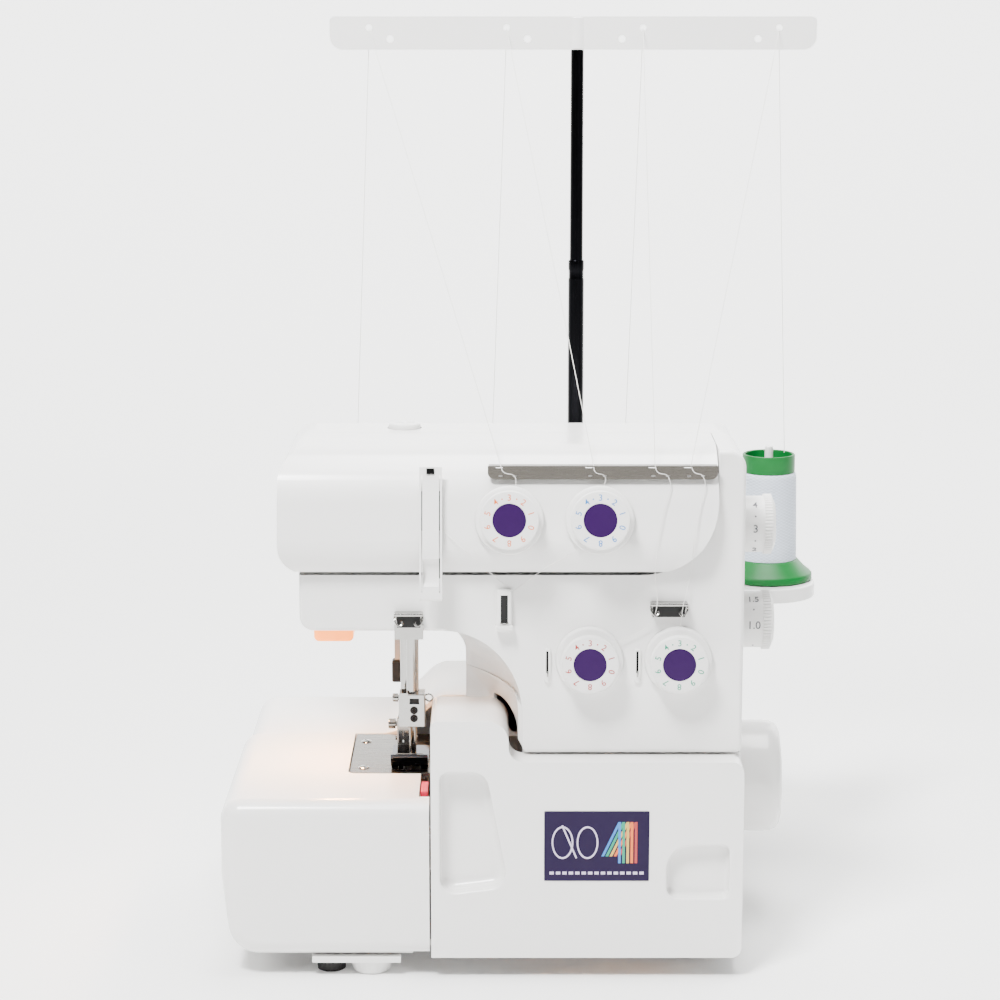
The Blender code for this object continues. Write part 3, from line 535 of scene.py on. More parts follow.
def metal(name, code, gloss, stretch=(1, 1, 1), grain=700):
    """Metal with faint brush or polishing marks, stretched along one axis."""
    material, tree, shader, place = surface(name, linear(code), Metallic=1)
    drawn = add(tree, "Mapping", {"Vector": place, "Scale": stretch}).outputs[0]
    marks = add(tree, "TexNoise", {"Vector": drawn, "Scale": grain, "Detail": 3}).outputs["Fac"]
    tree.links.new(spread(tree, marks, gloss * 0.7, gloss * 1.4), shader.inputs["Roughness"])
    tree.links.new(
        tint(tree, marks, darker(linear(code), 0.86), linear(code)), shader.inputs["Base Color"])
    bump = add(tree, "Bump", {"Height": marks, "Strength": 0.12, "Distance": 0.00002})
    tree.links.new(bump.outputs[0], shader.inputs["Normal"])
    return material


def wound(name, code, turns, lean):
    """Thread wound on a spool: fine ridges that climb one way, crossed by a second lay."""
    material, tree, shader, place = surface(
        name, linear(code), Roughness=0.72, Sheen_Weight=0.25, Sheen_Roughness=0.5)
    apart = add(tree, "SeparateXYZ", {"Vector": place}).outputs
    lays = []
    for direction in (lean, -lean):
        side = add(tree, "Math", {0: apart["X"], 1: direction}, operation="MULTIPLY").outputs[0]
        climb = add(tree, "Math", {0: apart["Z"], 1: side}, operation="ADD").outputs[0]
        wave = add(tree, "Math", {0: climb, 1: 2 * math.pi * turns}, operation="MULTIPLY")
        lays.append(add(tree, "Math", {0: wave.outputs[0]}, operation="SINE").outputs[0])
    crossed = add(tree, "Math", {0: lays[0], 1: lays[1]}, operation="ADD").outputs[0]
    ridge = add(tree, "MapRange", {"Value": crossed, "From Min": -2, "From Max": 2}).outputs[0]
    # Painted shade: the thread's colour darkens in the grooves between the ridges.
    shadow = tint(tree, ridge, darker(linear(code), 0.75), linear(code))
    tree.links.new(shadow, shader.inputs["Base Color"])
    bump = add(tree, "Bump", {"Height": ridge, "Strength": 0.6, "Distance": 0.0004})
    tree.links.new(bump.outputs[0], shader.inputs["Normal"])
    return material


def glowing(name, code, power):
    """A lit lens, a little brighter in patches where the lamp stands behind it."""
    material, tree, shader, place = surface(
        name, linear(code), Roughness=0.3, Emission_Strength=power)
    patch = add(tree, "TexNoise", {"Vector": place, "Scale": 90, "Detail": 1}).outputs["Fac"]
    glow = tint(tree, patch, darker(linear(code), 0.7), linear(code))
    tree.links.new(glow, shader.inputs["Emission Color"])
    return material


def make_materials():
    """Every material of the machine, by the name that the operators ask for."""
    colours = bpy.context.scene.overlock_colours
    cover = list(colours.cover)
    return {
        # Gloss moulded ABS: the warm white of the covers, with a soft, uneven shine.
        "abs": moulded("abs_white", cover, 0.24, 420, 0.000012, coat=0.25, shade=0.965),
        # The same plastic in a plainer finish, on the tray and the knobs' bodies.
        "abs_plain": moulded("abs_white_satin", darker(cover, 0.97), 0.34, 700, 0.00001),
        # Dark line where two covers meet, and painted shade in the mouth of a slot.
        "gap": moulded("gap_black", linear("#060606"), 0.8, 900, shine=0.1),
        # Polished chrome plate: needle clamp, guides, bars and screws.
        "chrome": metal("steel_chrome", "#A9A8A5", 0.12, grain=300),
        # Painted reflection: polished steel darkened to stand for the dark mirror of the foot's
        # polished toe.
        "chrome_dark_reflection": metal("steel_polished_dark_reflection", "#4A4B50", 0.1, grain=300),
        # Ground steel plate, with grinding marks along the machine.
        "ground": metal("steel_ground", "#6E6A64", 0.26, (0.05, 1, 1), 900),
        # Cast aluminium of the frame inside.
        "casting": moulded("aluminium_cast", linear("#8F9092"), 0.55, 350, 0.00012),
        # Lacquered steel of the motor.
        "motor": moulded("steel_lacquered", linear("#3C3F43"), 0.42, 500, 0.00003),
        # Black moulded plastic: switch and lifter tip. Also painted shade: black blocks in the
        # thread slots, the guides' mouths and the clamp's slot.
        "black": moulded("plastic_black_and_slot_shade", linear("#080808"), 0.4, 1100, 0.00002, shine=0.3),
        # Satin black tube of the thread stand.
        "pole": metal("tube_black", "#17171A", 0.22, (1, 1, 0.05)),
        # Foot rubber, dull and lightly dusted.
        "rubber": moulded("rubber_black", linear("#1B1A19"), 0.8, 800, 0.00005, shade=0.7),
        # Printed badge film under a clear coat.
        "badge": moulded("film_violet", list(colours.badge), 0.45, 500, shade=0.75, shine=0.2),
        # Violet discs pressed into the dials.
        "centre": moulded("disc_violet", list(colours.centre), 0.5, 500, shade=0.8, shine=0.15),
        # Green plastic core of the spools.
        "spool": moulded("plastic_green", list(colours.spool), 0.4, 500, shade=0.82, shine=0.3),
        # Raspberry red of the small knob.
        "knob": moulded("plastic_red", list(colours.knob), 0.3, 600, shade=0.85),
        # White polyester thread on the spools.
        "wound": wound("thread_wound", "#C9D2E0", 520, 0.55),
        # Running thread, a single white strand.
        "thread": wound("thread_strand", "#F4F2EE", 1500, 0.8),
        # Warm lamp behind its lens.
        "lamp": glowing("lens_lit", "#FF8A2C", 3),
        # Printing inks of the dial figures and the badge.
        "ink_orange": moulded("ink_orange", linear("#DE6A22"), 0.5),
        "ink_blue": moulded("ink_blue", linear("#2A78C0"), 0.5),
        "ink_red": moulded("ink_red", linear("#A8352F"), 0.5),
        "ink_green": moulded("ink_green", linear("#0A8F6E"), 0.5),
        "ink_grey": moulded("ink_grey", linear("#55545A"), 0.5),
        "ink_pale": moulded("ink_pale", linear("#C9BDD8"), 0.45),
        "ink_gold": moulded("ink_gold", linear("#C8A24A"), 0.45),
    }


PAINT = {}  # filled by main() from make_materials()


# --- covers -------------------------------------------------------------------


class Piece:
    """What the operators share: each makes one piece, or a group of like pieces."""

    bl_options = {"REGISTER", "UNDO"}

    @property
    def sizes(self):
        return bpy.context.scene.overlock_sizes


def front_rim(seam):
    """Test for the edges round the front face, less the one along a seam."""
    rim = on_level("Y", FRONT)
    return lambda edge: rim(edge) and not all(
        abs(vert.co.x / MM - seam) < 0.1 for vert in edge.verts)


class OVERLOCK_OT_table(Piece, Operator):
    """Makes the cloth table on the left, with the recess for the needle plate"""

    bl_idname = "overlock.table"
    bl_label = "Cloth Table"

    def execute(self, context):
        corners = [
            (-173, SKIRT, 18), (SEAM, SKIRT, 0), (SEAM, BED_TOP, 0), (LEFT, BED_TOP, 12),
            (LEFT, 58, 30),
        ]
        shell = slab("cloth_table", corners, "Y", FRONT, TABLE_BACK, 12)
        round_where(shell, front_rim(SEAM), self.sizes.table_edge / MM, 10)
        inner = slab("table_hollow", inset(corners, WALL), "Y", FRONT + WALL, TABLE_BACK + 1)
        cut(
            shell, inner,
            block("table_side", (-70, FRONT + WALL, 8), (-50, TABLE_BACK + 1, BED_TOP - WALL)),
            block("table_bottom", (-152, FRONT + 12, 5), (-65, TABLE_BACK + 1, 20)))
        plate = [(-108.9, -70.4, 5), (-50, -70.4, 0), (-50, 20, 0), (-108.9, 20, 0)]
        cut(
            shell, slab("plate_room", plate, "Z", 90, 110),
            block("knob_room", (-66.5, FRONT + 12, 90), (-50, -69, 110)))
        round_where(shell, on_level("Z", BED_TOP), self.sizes.seam_edge / MM, 3)
        done(shell, PAINT["abs"], "side_table", "white_abs", "side_cover")
        return {"FINISHED"}


class OVERLOCK_OT_rear_base(Piece, Operator):
    """Makes the base cover behind the table, with its step up to the column"""

    bl_idname = "overlock.rear_base"
    bl_label = "Rear Base Cover"

    def execute(self, context):
        corners = [
            (-175, SKIRT, 14), (RIGHT, SKIRT, 6), (RIGHT, 127, 8), (-60, 127, 16),
            (-84, BED_TOP, 20), (-175, BED_TOP, 12),
        ]
        front = TABLE_BACK + 0.6
        shell = slab("rear_base", corners, "Y", front, BASE_BACK, 12)
        round_where(shell, on_level("Y", BASE_BACK), 8, 8)
        round_where(shell, on_level("Y", front), self.sizes.seam_edge / MM, 3)
        inner = slab(
            "rear_base_hollow", inset(corners, WALL), "Y", front - 1, BASE_BACK - WALL)
        cut(shell, inner, block("rear_base_bottom", (-160, front - 1, 5), (107, 96, 20)))
        vent = block("vent", (0, BASE_BACK - 2, 30), (3, BASE_BACK + 1, 66))
        vents = repeated(vent, [(x, 0, 0) for x in range(20, 92, 8)])
        cut(shell, group("vents", vents))
        round_where(
            shell, lambda edge: sharp(edge) and all(
                vert.co.y / MM > BASE_BACK - 0.05 and 29 < vert.co.z / MM < 67
                for vert in edge.verts), 0.4, 2)
        done(shell, PAINT["abs"], "machine", "white_abs", "rear_base_cover")
        return {"FINISHED"}


class OVERLOCK_OT_front_cover(Piece, Operator):
    """Makes the face of the column and the head's lower strip, hollowed under the arch"""

    bl_idname = "overlock.front_cover"
    bl_label = "Front Cover"

    def bowl(self, reach, height):
        """The hollow under the arch: an ellipsoid above a trough of the same width."""
        x, y = -52, -122
        upper = ball("arch_bowl", (x, y, 150), (reach, 70, height), 96)
        trough = bar("arch_trough", (x, y, 100), (x, y, 150), 1, sides=96)
        return join(upper, stretched(trough, (reach, 70, 1), (x, y, 125)))

    def hump_room(self):
        """Clear space for the door's hump, also when the door is slid to the right."""
        edge = [(-62, 120, 0), (-6.5, 120, 0), (-6.5, 128, 0), (-10.8, 136, 3),
                (-10.8, HUMP_TOP + 1.2, 12), (-62, HUMP_TOP + 1.2, 0)]
        return slab("hump_space", edge, "Y", FRONT - 2, FRONT + 58.5, 8)

    def execute(self, context):
        back = SPLIT - 0.3
        edge = BULGE_RIGHT + 0.5
        corners = [
            (COLUMN_LEFT, COLUMN_BOTTOM, 0), (RIGHT, COLUMN_BOTTOM, 4), (RIGHT, HEAD_TOP, 10),
            (edge, HEAD_TOP, 0), (edge, STEP_LINE - 0.1, 42.1), (HEAD_LEFT + 11, STEP_LINE - 0.1, 0),
            (HEAD_LEFT + 11, 198, 8), (COLUMN_LEFT - 12, 198, 0), (COLUMN_LEFT, 190, 0),
        ]
        shell = slab("column_face", corners, "Y", FACE, back, 14)
        reach, height = self.sizes.arch_radius / MM + 4, 48.5
        rim = on_level("Y", FACE)
        round_where(shell, lambda part: rim(part) and not all(
            vert.co.z / MM > STEP_LINE - 1 and vert.co.x / MM < edge + 0.6
            for vert in part.verts), 2.4, 6)
        cut(shell, self.bowl(reach, height), self.hump_room())
        lip = slab("arch_lip", [
            (COLUMN_LEFT, 165, 0), (-27, 150, 0), (-14, COLUMN_BOTTOM, 0), (-7, COLUMN_BOTTOM, 0),
            (-7, 152, 5), (-12, 159.6, 4),
        ], "Y", FACE + 1.5, back - 1, 10)
        cut(lip, self.bowl(reach - 2.2, height - 1), self.hump_room())
        round_where(lip, sharp, 0.5, 3)
        inner = [
            (COLUMN_LEFT + 36, COLUMN_BOTTOM + WALL, 0), (RIGHT - WALL, COLUMN_BOTTOM + WALL, 0),
            (RIGHT - WALL, 225, 0), (COLUMN_LEFT + 36, 225, 0),
        ]
        cut(shell, slab("column_hollow", inner, "Y", FACE + WALL, back + 1))
        done(shell, PAINT["abs"], "machine", "white_abs", "front_cover", angle=30)
        done(lip, PAINT["abs"], "machine", "white_abs", angle=30)
        return {"FINISHED"}


def crossed(name, outline, profile, left, right, front, back):
    """The solid with one outline from the front and one profile from the side."""
    solid = slab(name, outline, "Y", front, back, 14)
    return combine(
        solid, "INTERSECT", slab(name + "_side", profile, "X", left, right, 14))


class OVERLOCK_OT_upper_cover(Piece, Operator):
    """Makes the proud, convex cover that carries the two needle dials"""

    bl_idname = "overlock.upper_cover"
    bl_label = "Upper Front Cover"

    def execute(self, context):
        low = STEP_LINE
        profile = [
            (FACE, low, 0), (SPLIT - 0.3, low, 0), (SPLIT - 0.3, HEAD_TOP, 0),
            (FRONT + 12, HEAD_TOP, 34), (FRONT + 1.5, 240, 20),
        ]
        outline = [
            (HEAD_LEFT, low, 18), (BULGE_RIGHT, low, 42), (BULGE_RIGHT, HEAD_TOP, 0),
            (HEAD_LEFT, HEAD_TOP, 18),
        ]
        left, right = HEAD_LEFT - 5, BULGE_RIGHT + 5
        shell = crossed("upper_front", outline, profile, left, right, FRONT - 5, SPLIT - 0.3)
        hollow = [
            (HEAD_LEFT + WALL, 220, 0), (BULGE_RIGHT - WALL, 220, 42),
            (BULGE_RIGHT - WALL, HEAD_TOP - WALL, 0), (HEAD_LEFT + WALL, HEAD_TOP - WALL, 15),
        ]
        side = inset(profile, WALL)
        side[0] = (FACE + 6, 220, 0)
        side[1] = (SPLIT + 2, 220, 0)
        side[2] = (SPLIT + 2, HEAD_TOP - WALL, 0)
        inner = crossed("upper_hollow", hollow, side, left, right, FRONT - 5, SPLIT + 1)
        cut(shell, inner)
        done(shell, PAINT["abs"], "machine", "white_abs", "upper_front_cover", angle=40)
        return {"FINISHED"}


class OVERLOCK_OT_rear_cover(Piece, Operator):
    """Makes the back half of the head and column, rolled over at the top"""

    bl_idname = "overlock.rear_cover"
    bl_label = "Rear Cover"

    def execute(self, context):
        outline = [
            (COLUMN_LEFT, COLUMN_BOTTOM, 4), (RIGHT, COLUMN_BOTTOM, 4), (RIGHT, HEAD_TOP, 12),
            (HEAD_LEFT, HEAD_TOP, 18), (HEAD_LEFT, STEP_LINE + 1, 10),
            (HEAD_LEFT + 11, STEP_LINE + 1, 0), (HEAD_LEFT + 11, UNDERSIDE, 12),
            (COLUMN_LEFT, UNDERSIDE, 16),
        ]
        profile = [
            (SPLIT, COLUMN_BOTTOM, 0), (HEAD_BACK, COLUMN_BOTTOM, 4), (HEAD_BACK, HEAD_TOP, 42),
            (SPLIT, HEAD_TOP, 0),
        ]
        ends = HEAD_LEFT - 5, RIGHT + 5, SPLIT, HEAD_BACK + 1
        shell = crossed("head_rear", outline, profile, *ends)
        side = inset(profile, WALL)
        side[0] = (SPLIT - 2, side[0][1], 0)
        side[3] = (SPLIT - 2, side[3][1], 0)
        inner = crossed("rear_hollow", inset(outline, WALL), side, *ends)
        vent = block("head_vent", (0, HEAD_BACK - 4, 212), (3, HEAD_BACK + 1, 236))
        vents = repeated(vent, [(x, 0, 0) for x in range(-104, -50, 8)])
        cut(
            shell, inner, group("head_vents", vents),
            bar("needle_hole", (*NEEDLE_AXIS, 180), (*NEEDLE_AXIS, 195), 5.6),
            bar("presser_hole", (*PRESSER_AXIS, 180), (*PRESSER_AXIS, 195), 5.6),
            bar("screw_hole", (*PRESSER_AXIS, 290), (*PRESSER_AXIS, 305), 10, sides=SIDES),
            block("frame_room", (-37, 1, 120), (79, 15, 134)))
        done(shell, PAINT["abs"], "machine", "white_abs", "rear_cover", angle=40)
        return {"FINISHED"}


class OVERLOCK_OT_belt_cover(Piece, Operator):
    """Makes the inner cap over the belt and the loopers, with the right side wall"""

    bl_idname = "overlock.belt_cover"
    bl_label = "Belt Cover"

    def execute(self, context):
        front = FRONT + 21.5
        shell = block("belt_cap", (COLUMN_LEFT, front, SKIRT), (RIGHT, TABLE_BACK, COVER_TOP))
        round_where(shell, sharp, self.sizes.seam_edge / MM * 1.6, 4)
        cut(
            shell,
            block("belt_hollow",
                  (COLUMN_LEFT + WALL, front - 1, 5), (RIGHT - WALL, 16, COVER_TOP - WALL)),
            block("belt_left_open", (-50, front - 1, 5), (0, 16, BED_TOP + 1)),
            block("hump_room", (-50, front - 1, 5), (-8, -66, 140)),
            block("belt_frame_room", (-37, 1, 120), (79, 16, 130)),
            bar("shaft_hole", (100, *SHAFT_AXIS), (120, *SHAFT_AXIS), 7, sides=SIDES))
        done(shell, PAINT["abs"], "machine", "white_abs", "belt_cover")
        return {"FINISHED"}


class OVERLOCK_OT_door(Piece, Operator):
    """Makes the front door: hump, tapered scoop and thumb recess"""

    bl_idname = "overlock.door"
    bl_label = "Looper Door"

    def execute(self, context):
        right, hump_left, hump_right = RIGHT + 0.5, SEAM + 1, -16
        corners = [
            (hump_left, SKIRT, 0), (right, SKIRT, 6), (right, 126.5, 7), (hump_right, 126.5, 8),
            (hump_right, HUMP_TOP, 12), (hump_left, HUMP_TOP, 4),
        ]
        back = FRONT + 57
        door = slab("front_door", corners, "Y", FRONT, FRONT + 20, 10)
        hump = [(hump_left, 104, 0), (hump_right, 104, 0), (hump_right, HUMP_TOP, 12),
                (hump_left, HUMP_TOP, 4)]
        join(door, slab("hump", hump, "Y", FRONT + 2, back, 10))
        round_where(door, on_level("Y", back), 4, 6)
        round_where(door, front_rim(hump_left), self.sizes.door_edge / MM, 8)
        inner = slab("door_hollow", inset(corners, WALL), "Y", FRONT + WALL, back + 1)
        cut(
            door, inner,
            block("hump_left_open", (hump_left - 2, FRONT + WALL, 98), (-50, back + 1, 139)),
            block("door_bottom", (-56, FRONT + WALL, 5), (right - WALL, back, 16)))
        join(
            door, block("scoop_back", (-57.5, FRONT + 1, 44), (-11, FRONT + 15.5, 127)),
            block("thumb_back", (69, FRONT + 1, 43), (right - 1, FRONT + 10, 83)))
        thumb = [(73, 47, 6), (108, 47, 4), (108, 78, 4), (73, 78, 14)]
        press = slab("thumb_recess", thumb, "Y", FRONT - 1, FRONT + 7, 10)
        round_where(press, on_level("Y", FRONT + 7), 3, 6)
        hollow = [(-54.4, 49, 8), (-16, 54, 9), (-28.8, 120, 9), (-54.4, 120, 5)]
        scoop = slab("scoop", hollow, "Y", FRONT - 1, FRONT + 11.5, 10)
        round_where(scoop, on_level("Y", FRONT + 11.5), 8, 10)
        cut(door, scoop, press)
        mouth = (lambda edge: sharp(edge) and all(
            abs(vert.co.y / MM - FRONT) < 0.02 and 46 < vert.co.z / MM < 125
            and (-58 < vert.co.x / MM < -10 or 70 < vert.co.x / MM < 110)
            for vert in edge.verts))
        round_where(door, mouth, 1.4, 5)
        done(door, PAINT["abs"], "looper_door", "white_abs", "looper_cover")
        return {"FINISHED"}


COVERS = (
    OVERLOCK_OT_table, OVERLOCK_OT_rear_base, OVERLOCK_OT_front_cover, OVERLOCK_OT_upper_cover,
    OVERLOCK_OT_rear_cover, OVERLOCK_OT_belt_cover, OVERLOCK_OT_door,
)


# --- dials and handwheel ------------------------------------------------------


def figures(name, text, size, thickness=0.12):
    """Printed figures as a thin mesh that faces +Z, centred on the origin."""
    rest()
    bpy.ops.object.text_add()
    made = bpy.context.object
    made.data.body = text
    made.data.size = size * MM
    made.data.align_x = made.data.align_y = "CENTER"
    made.data.extrude = thickness * MM / 2
    made.data.offset = 0.035 * MM
    made.data.resolution_u = 3
    bpy.ops.object.convert(target="MESH")
    return named(name)


def facing(piece, place, tilt=0.0, spin=0.0):
    """Turns a piece that faces +Z to face the front, tilted back and spun clockwise."""
    piece.rotation_euler = (0, 0, -spin)
    settle(piece)
    piece.rotation_euler = (math.pi / 2 - tilt, 0, 0)
    piece.location = Vector(place) * MM
    return settle(piece)


# Name, frame node, place on the cover, tilt and ink of each tension dial.
FACE_DIALS = (
    ("left_needle", "left_needle_dial", (-15.7, -123.04, 263), DIAL_TILT, "ink_orange"),
    ("right_needle", "right_needle_dial", (34, -123.04, 263), DIAL_TILT, "ink_blue"),
    ("upper_looper", "upper_looper_dial", (29.1, -114.3, 182), 0, "ink_red"),
    ("lower_looper", "lower_looper_dial", (78.6, -114.3, 182), 0, "ink_green"),
)
# Each figure or dot of a dial, and its angle clockwise from the top.
DIAL_MARKS = (
    ("3", 0), (".", 19), ("2", 38), ("1", 72), ("0", 108), ("9", 144), ("8", 180), ("7", 217),
    ("6", 253), ("5", 288), ("4", 323), (".", 341),
)


class OVERLOCK_OT_face_dials(Piece, Operator):
    """Makes the four tension dials: collar, knob, violet disc and ring of figures"""

    bl_idname = "overlock.face_dials"
    bl_label = "Tension Dials"

    def execute(self, context):
        knob = turned("dial_knob", [
            (0, 12.3), (9.3, 12.3), (9.3, 12.8), (9.6, 13), (15.1, 13), (15.25, 12.85),
            (15.4, 13), (15.9, 12.85), (16.3, 12.3), (16.3, 8.6), (16.0, 8.0), (15.2, 7.7),
            (14, 7.6), (14, 4.6), (17.2, 4.4), (18.4, 3.9), (19, 2.8), (19, 0), (0, 0),
        ], (0, 0, 0), steps=96)
        disc = turned("dial_disc", [
            (0, 12.75), (8.9, 12.75), (9.15, 12.6), (9.15, 12.1), (0, 12.1),
        ], (0, 0, 0), steps=96)
        marks = []
        for mark, turn in DIAL_MARKS:
            angle = math.radians(turn)
            if mark == ".":
                made = bar("dial_dot", (0, 0, 12.98), (0, 0, 13.05), 0.42)
            else:
                made = figures("dial_mark", mark, 4.9)
                made.location.z = 12.99 * MM
                made.rotation_euler.z = -angle
                settle(made)
            made.location = Vector((math.sin(angle), math.cos(angle), 0)) * 12.3 * MM
            marks.append(settle(made))
        ring = group("dial_figures", marks)
        sets = sets_of((knob, disc, ring), len(FACE_DIALS))
        for (name, node, place, tilt, ink), parts in zip(FACE_DIALS, sets):
            for part, paint in zip(parts, ("abs_plain", "centre", ink)):
                part.name = part.data.name = name + "_" + part.name.split(".")[0]
                facing(part, place, tilt)
                shown = (node,) if paint == "abs_plain" else ()
                done(part, PAINT[paint], "dial_" + name, "white_abs", *shown, flat=paint == ink)
        return {"FINISHED"}


SIDE_WALL = 115.3  # x where the side dials' barrels start
SIDE_DIAL_Y = -63
SIDE_FIGURES = 16.12  # radius that the figures stand at
# Name, height, and the figures with their angles up from the front.
SIDE_DIALS = (
    ("stitch_length", 249, (("4", 52), (".", 26), ("3", 0), (".", -26), ("2", -54), (".", -78))),
    ("differential_feed", 193, (("1.5", 57), (".", 33), ("1.0", 0), (".", -54))),
)


class OVERLOCK_OT_side_dials(Piece, Operator):
    """Makes the stitch length and differential feed dials on the right"""

    bl_idname = "overlock.side_dials"
    bl_label = "Side Dials"

    def execute(self, context):
        for name, height, marks in SIDE_DIALS:
            barrel = turned(name + "_barrel", [
                (0, 20.6), (8, 20.9), (12.6, 20.6), (15.4, 19.4), (16.3, 18.7), (16.3, 14.1),
                (16.1, 13.8), (16.1, 0.5), (15.6, 0), (0, 0),
            ], (SIDE_WALL, SIDE_DIAL_Y, height), (1, 0, 0), steps=96)
            ribs = self.sizes.dial_ribs * 3
            rest()
            bpy.ops.mesh.primitive_cylinder_add(vertices=ribs, radius=17.2 * MM, depth=4.4 * MM)
            band = named(name + "_ribs")
            shape = edit(band)
            long_edges = [edge for edge in shape.edges if abs(
                edge.verts[0].co.z - edge.verts[1].co.z) > MM]
            long_edges.sort(key=lambda edge: math.atan2(edge.verts[0].co.y, edge.verts[0].co.x))
            for edge in long_edges[::3]:
                edge.select_set(True)
            bmesh.update_edit_mesh(band.data)
            bpy.ops.transform.resize(value=(0.955, 0.955, 1), center_override=(0, 0, 0))
            close_edit()
            aim(band, (SIDE_WALL + 16.4, SIDE_DIAL_Y, height), (1, 0, 0))
            dial = group(name + "_dial_body", [barrel, band])
            done(dial, PAINT["abs_plain"], "dial_" + name, "white_abs", name + "_dial")
            prints = []
            for mark, turn in marks:
                angle = math.radians(turn)
                at = (124.0, SIDE_DIAL_Y - SIDE_FIGURES * math.cos(angle),
                      height + SIDE_FIGURES * math.sin(angle))
                if mark == ".":
                    made = bar(name + "_dot", (0, 0, -0.1), (0, 0, 0.1), 0.5)
                else:
                    made = figures(name + "_mark", mark, 6.4 if turn == 0 else 5.6, 0.3)
                prints.append(facing(made, at, angle))
            inks = group(name + "_figures", prints)
            done(inks, PAINT["ink_grey"], "dial_" + name, "white_abs", flat=True)
        return {"FINISHED"}


class OVERLOCK_OT_handwheel(Piece, Operator):
    """Makes the domed handwheel, with a finger dimple"""

    bl_idname = "overlock.handwheel"
    bl_label = "Handwheel"

    def execute(self, context):
        wheel = turned("hand_wheel", [
            (0, 28.4), (11, 28.4), (12.4, 28.9), (25, 29.9), (29, 29.4), (31.6, 27.6),
            (33, 24.4), (33.5, 20), (33.5, 5), (33.1, 2), (32, 0.6), (30, 0), (0, 0),
        ], (117.5, *SHAFT_AXIS), (1, 0, 0), steps=128)
        cut(wheel, ball("finger_dimple", (151, -3, 101), (6, 8, 8), 48))
        done(wheel, PAINT["abs"], "drive_shaft", "white_abs", "handwheel", angle=50)
        return {"FINISHED"}


# --- thread stand and spools ---------------------------------------------------


SPOOLS_X = (-100.5, -16.5, 66.5, 148.5)
SPOOL_ROW = 98  # y of the spools' axes
EYELETS_X = (-100.5, -16.8, 66.3, 149.1)  # in the guide bar
STARTS_X = (-110.8, -26.0, 57.5, 158.2)  # where each thread leaves its spool
ENDS_X = (-20.5, 30.5, 64.3, 84.1)  # where each thread meets the long guide plate
THREAD_START, THREAD_TOP, THREAD_END = 262.6, 525.6, 293  # heights along a thread
TRAY_TOP, TRAY_BOTTOM = 182.0, 173


class OVERLOCK_OT_tray(Piece, Operator):
    """Makes the spool tray, with its arms and rounded pins"""

    bl_idname = "overlock.tray"
    bl_label = "Spool Tray"

    def execute(self, context):
        low, high = corner("spool_tray", 0), corner("spool_tray", 1)
        corners = [(low.x, 62, 30), (high.x, 62, 30), (high.x, high.y, 30), (low.x, high.y, 30)]
        tray = slab("tray", corners, "Z", TRAY_BOTTOM, TRAY_TOP, 16)
        round_where(tray, on_level("Z", TRAY_TOP), 1.4, 5)
        round_where(tray, on_level("Z", TRAY_BOTTOM), 0.8, 3)
        cut(tray, slab("tray_recess", inset(corners, WALL), "Z", TRAY_BOTTOM - 1, TRAY_TOP - WALL))
        for x in (-24, 76):
            arm = block("tray_arm", (x - 12, HEAD_BACK + 0.3, 170), (x + 12, 90, TRAY_TOP - 1))
            join(tray, round_where(arm, sharp, 1.2, 4))
        done(tray, PAINT["abs"], "machine", "white_abs", "spool_tray")
        pin = turned("pin", [
            (0, 85.5), (1.3, 85.3), (2.2, 84.6), (2.6, 83.2), (3.2, 0), (0, 0),
        ], (0, SPOOL_ROW, TRAY_TOP), steps=32)
        pins = repeated(pin, [(x, 0, 0) for x in SPOOLS_X])
        done(group("spool_pins", pins), PAINT["abs_plain"], "machine", "white_abs")
        return {"FINISHED"}


class OVERLOCK_OT_stand(Piece, Operator):
    """Makes the two tubes of the telescopic thread stand"""

    bl_idname = "overlock.stand"
    bl_label = "Thread Stand"

    def execute(self, context):
        tube = turned("stand_tube", [
            (4.2, 201.7), (4.6, 201.7), (4.9, 201.2), (4.9, 196), (4.6, 195.4), (4.6, 190.6),
            (4.9, 190), (4.9, 0.1), (4.2, 0.1),
        ], (*POLE_AXIS, 182.3), steps=48)
        done(tube, PAINT["pole"], "machine", "black_pole", "thread_stand_outer_pole")
        rod = turned("stand_rod", [
            (0, 178.5), (3.4, 178.5), (4, 177.8), (4, 120), (4.1, 34), (4.1, 0), (0, 0),
        ], (*POLE_AXIS, 350), steps=48)
        done(rod, PAINT["pole"], "stand_top", "black_pole", "thread_stand_inner_pole")
        return {"FINISHED"}


class OVERLOCK_OT_guide_bar(Piece, Operator):
    """Makes the plate on top of the stand, with hooked eyelets"""

    bl_idname = "overlock.guide_bar"
    bl_label = "Thread Guide Bar"

    def execute(self, context):
        low, high = corner("thread_guide_bar", 0), corner("thread_guide_bar", 1)
        corners = [(low.x, low.z, 8), (high.x, low.z, 8), (high.x, high.z, 3), (low.x, high.z, 3)]
        plate = slab("guide_plate_top", corners, "Y", 88.6, 91, 10)
        lip = block("top_lip", (low.x + 4, 88.8, high.z - 2), (high.x - 4, 95, high.z - 0.2))
        join(plate, lip)
        socket = bar("socket", (26.5, 95, 513.4), (26.5, 95, 532.8), 7.4, sides=SIDES)
        join(plate, round_where(socket, sharp, 0.8, 4))
        cut(plate, bar("bore", (*POLE_AXIS, 505), (*POLE_AXIS, 529), 4.5, sides=48))
        tools = []
        for index, x in enumerate(EYELETS_X):
            side = -1 if index < 2 else 1
            path = [(x, 82, 526.5), (x + side * 4, 82, 527), (x + side * 8.5, 82, 529.2),
                    (x + side * 12, 82, 536)]
            tools.append(stretched(wire("slit", path, 1.0), (1, 22, 1), (0, 88.5, 0)))
            tools.append(bar("hole", (x, 80, 526.2), (x, 99, 526.2), 1.9))
            spare = x - side * 12.8
            tools.append(bar("spare_hole", (spare, 80, 519.5), (spare, 99, 519.5), 2.1))
        cut(plate, *tools)
        done(plate, PAINT["abs"], "stand_top", "white_abs", "thread_guide_bar")
        return {"FINISHED"}


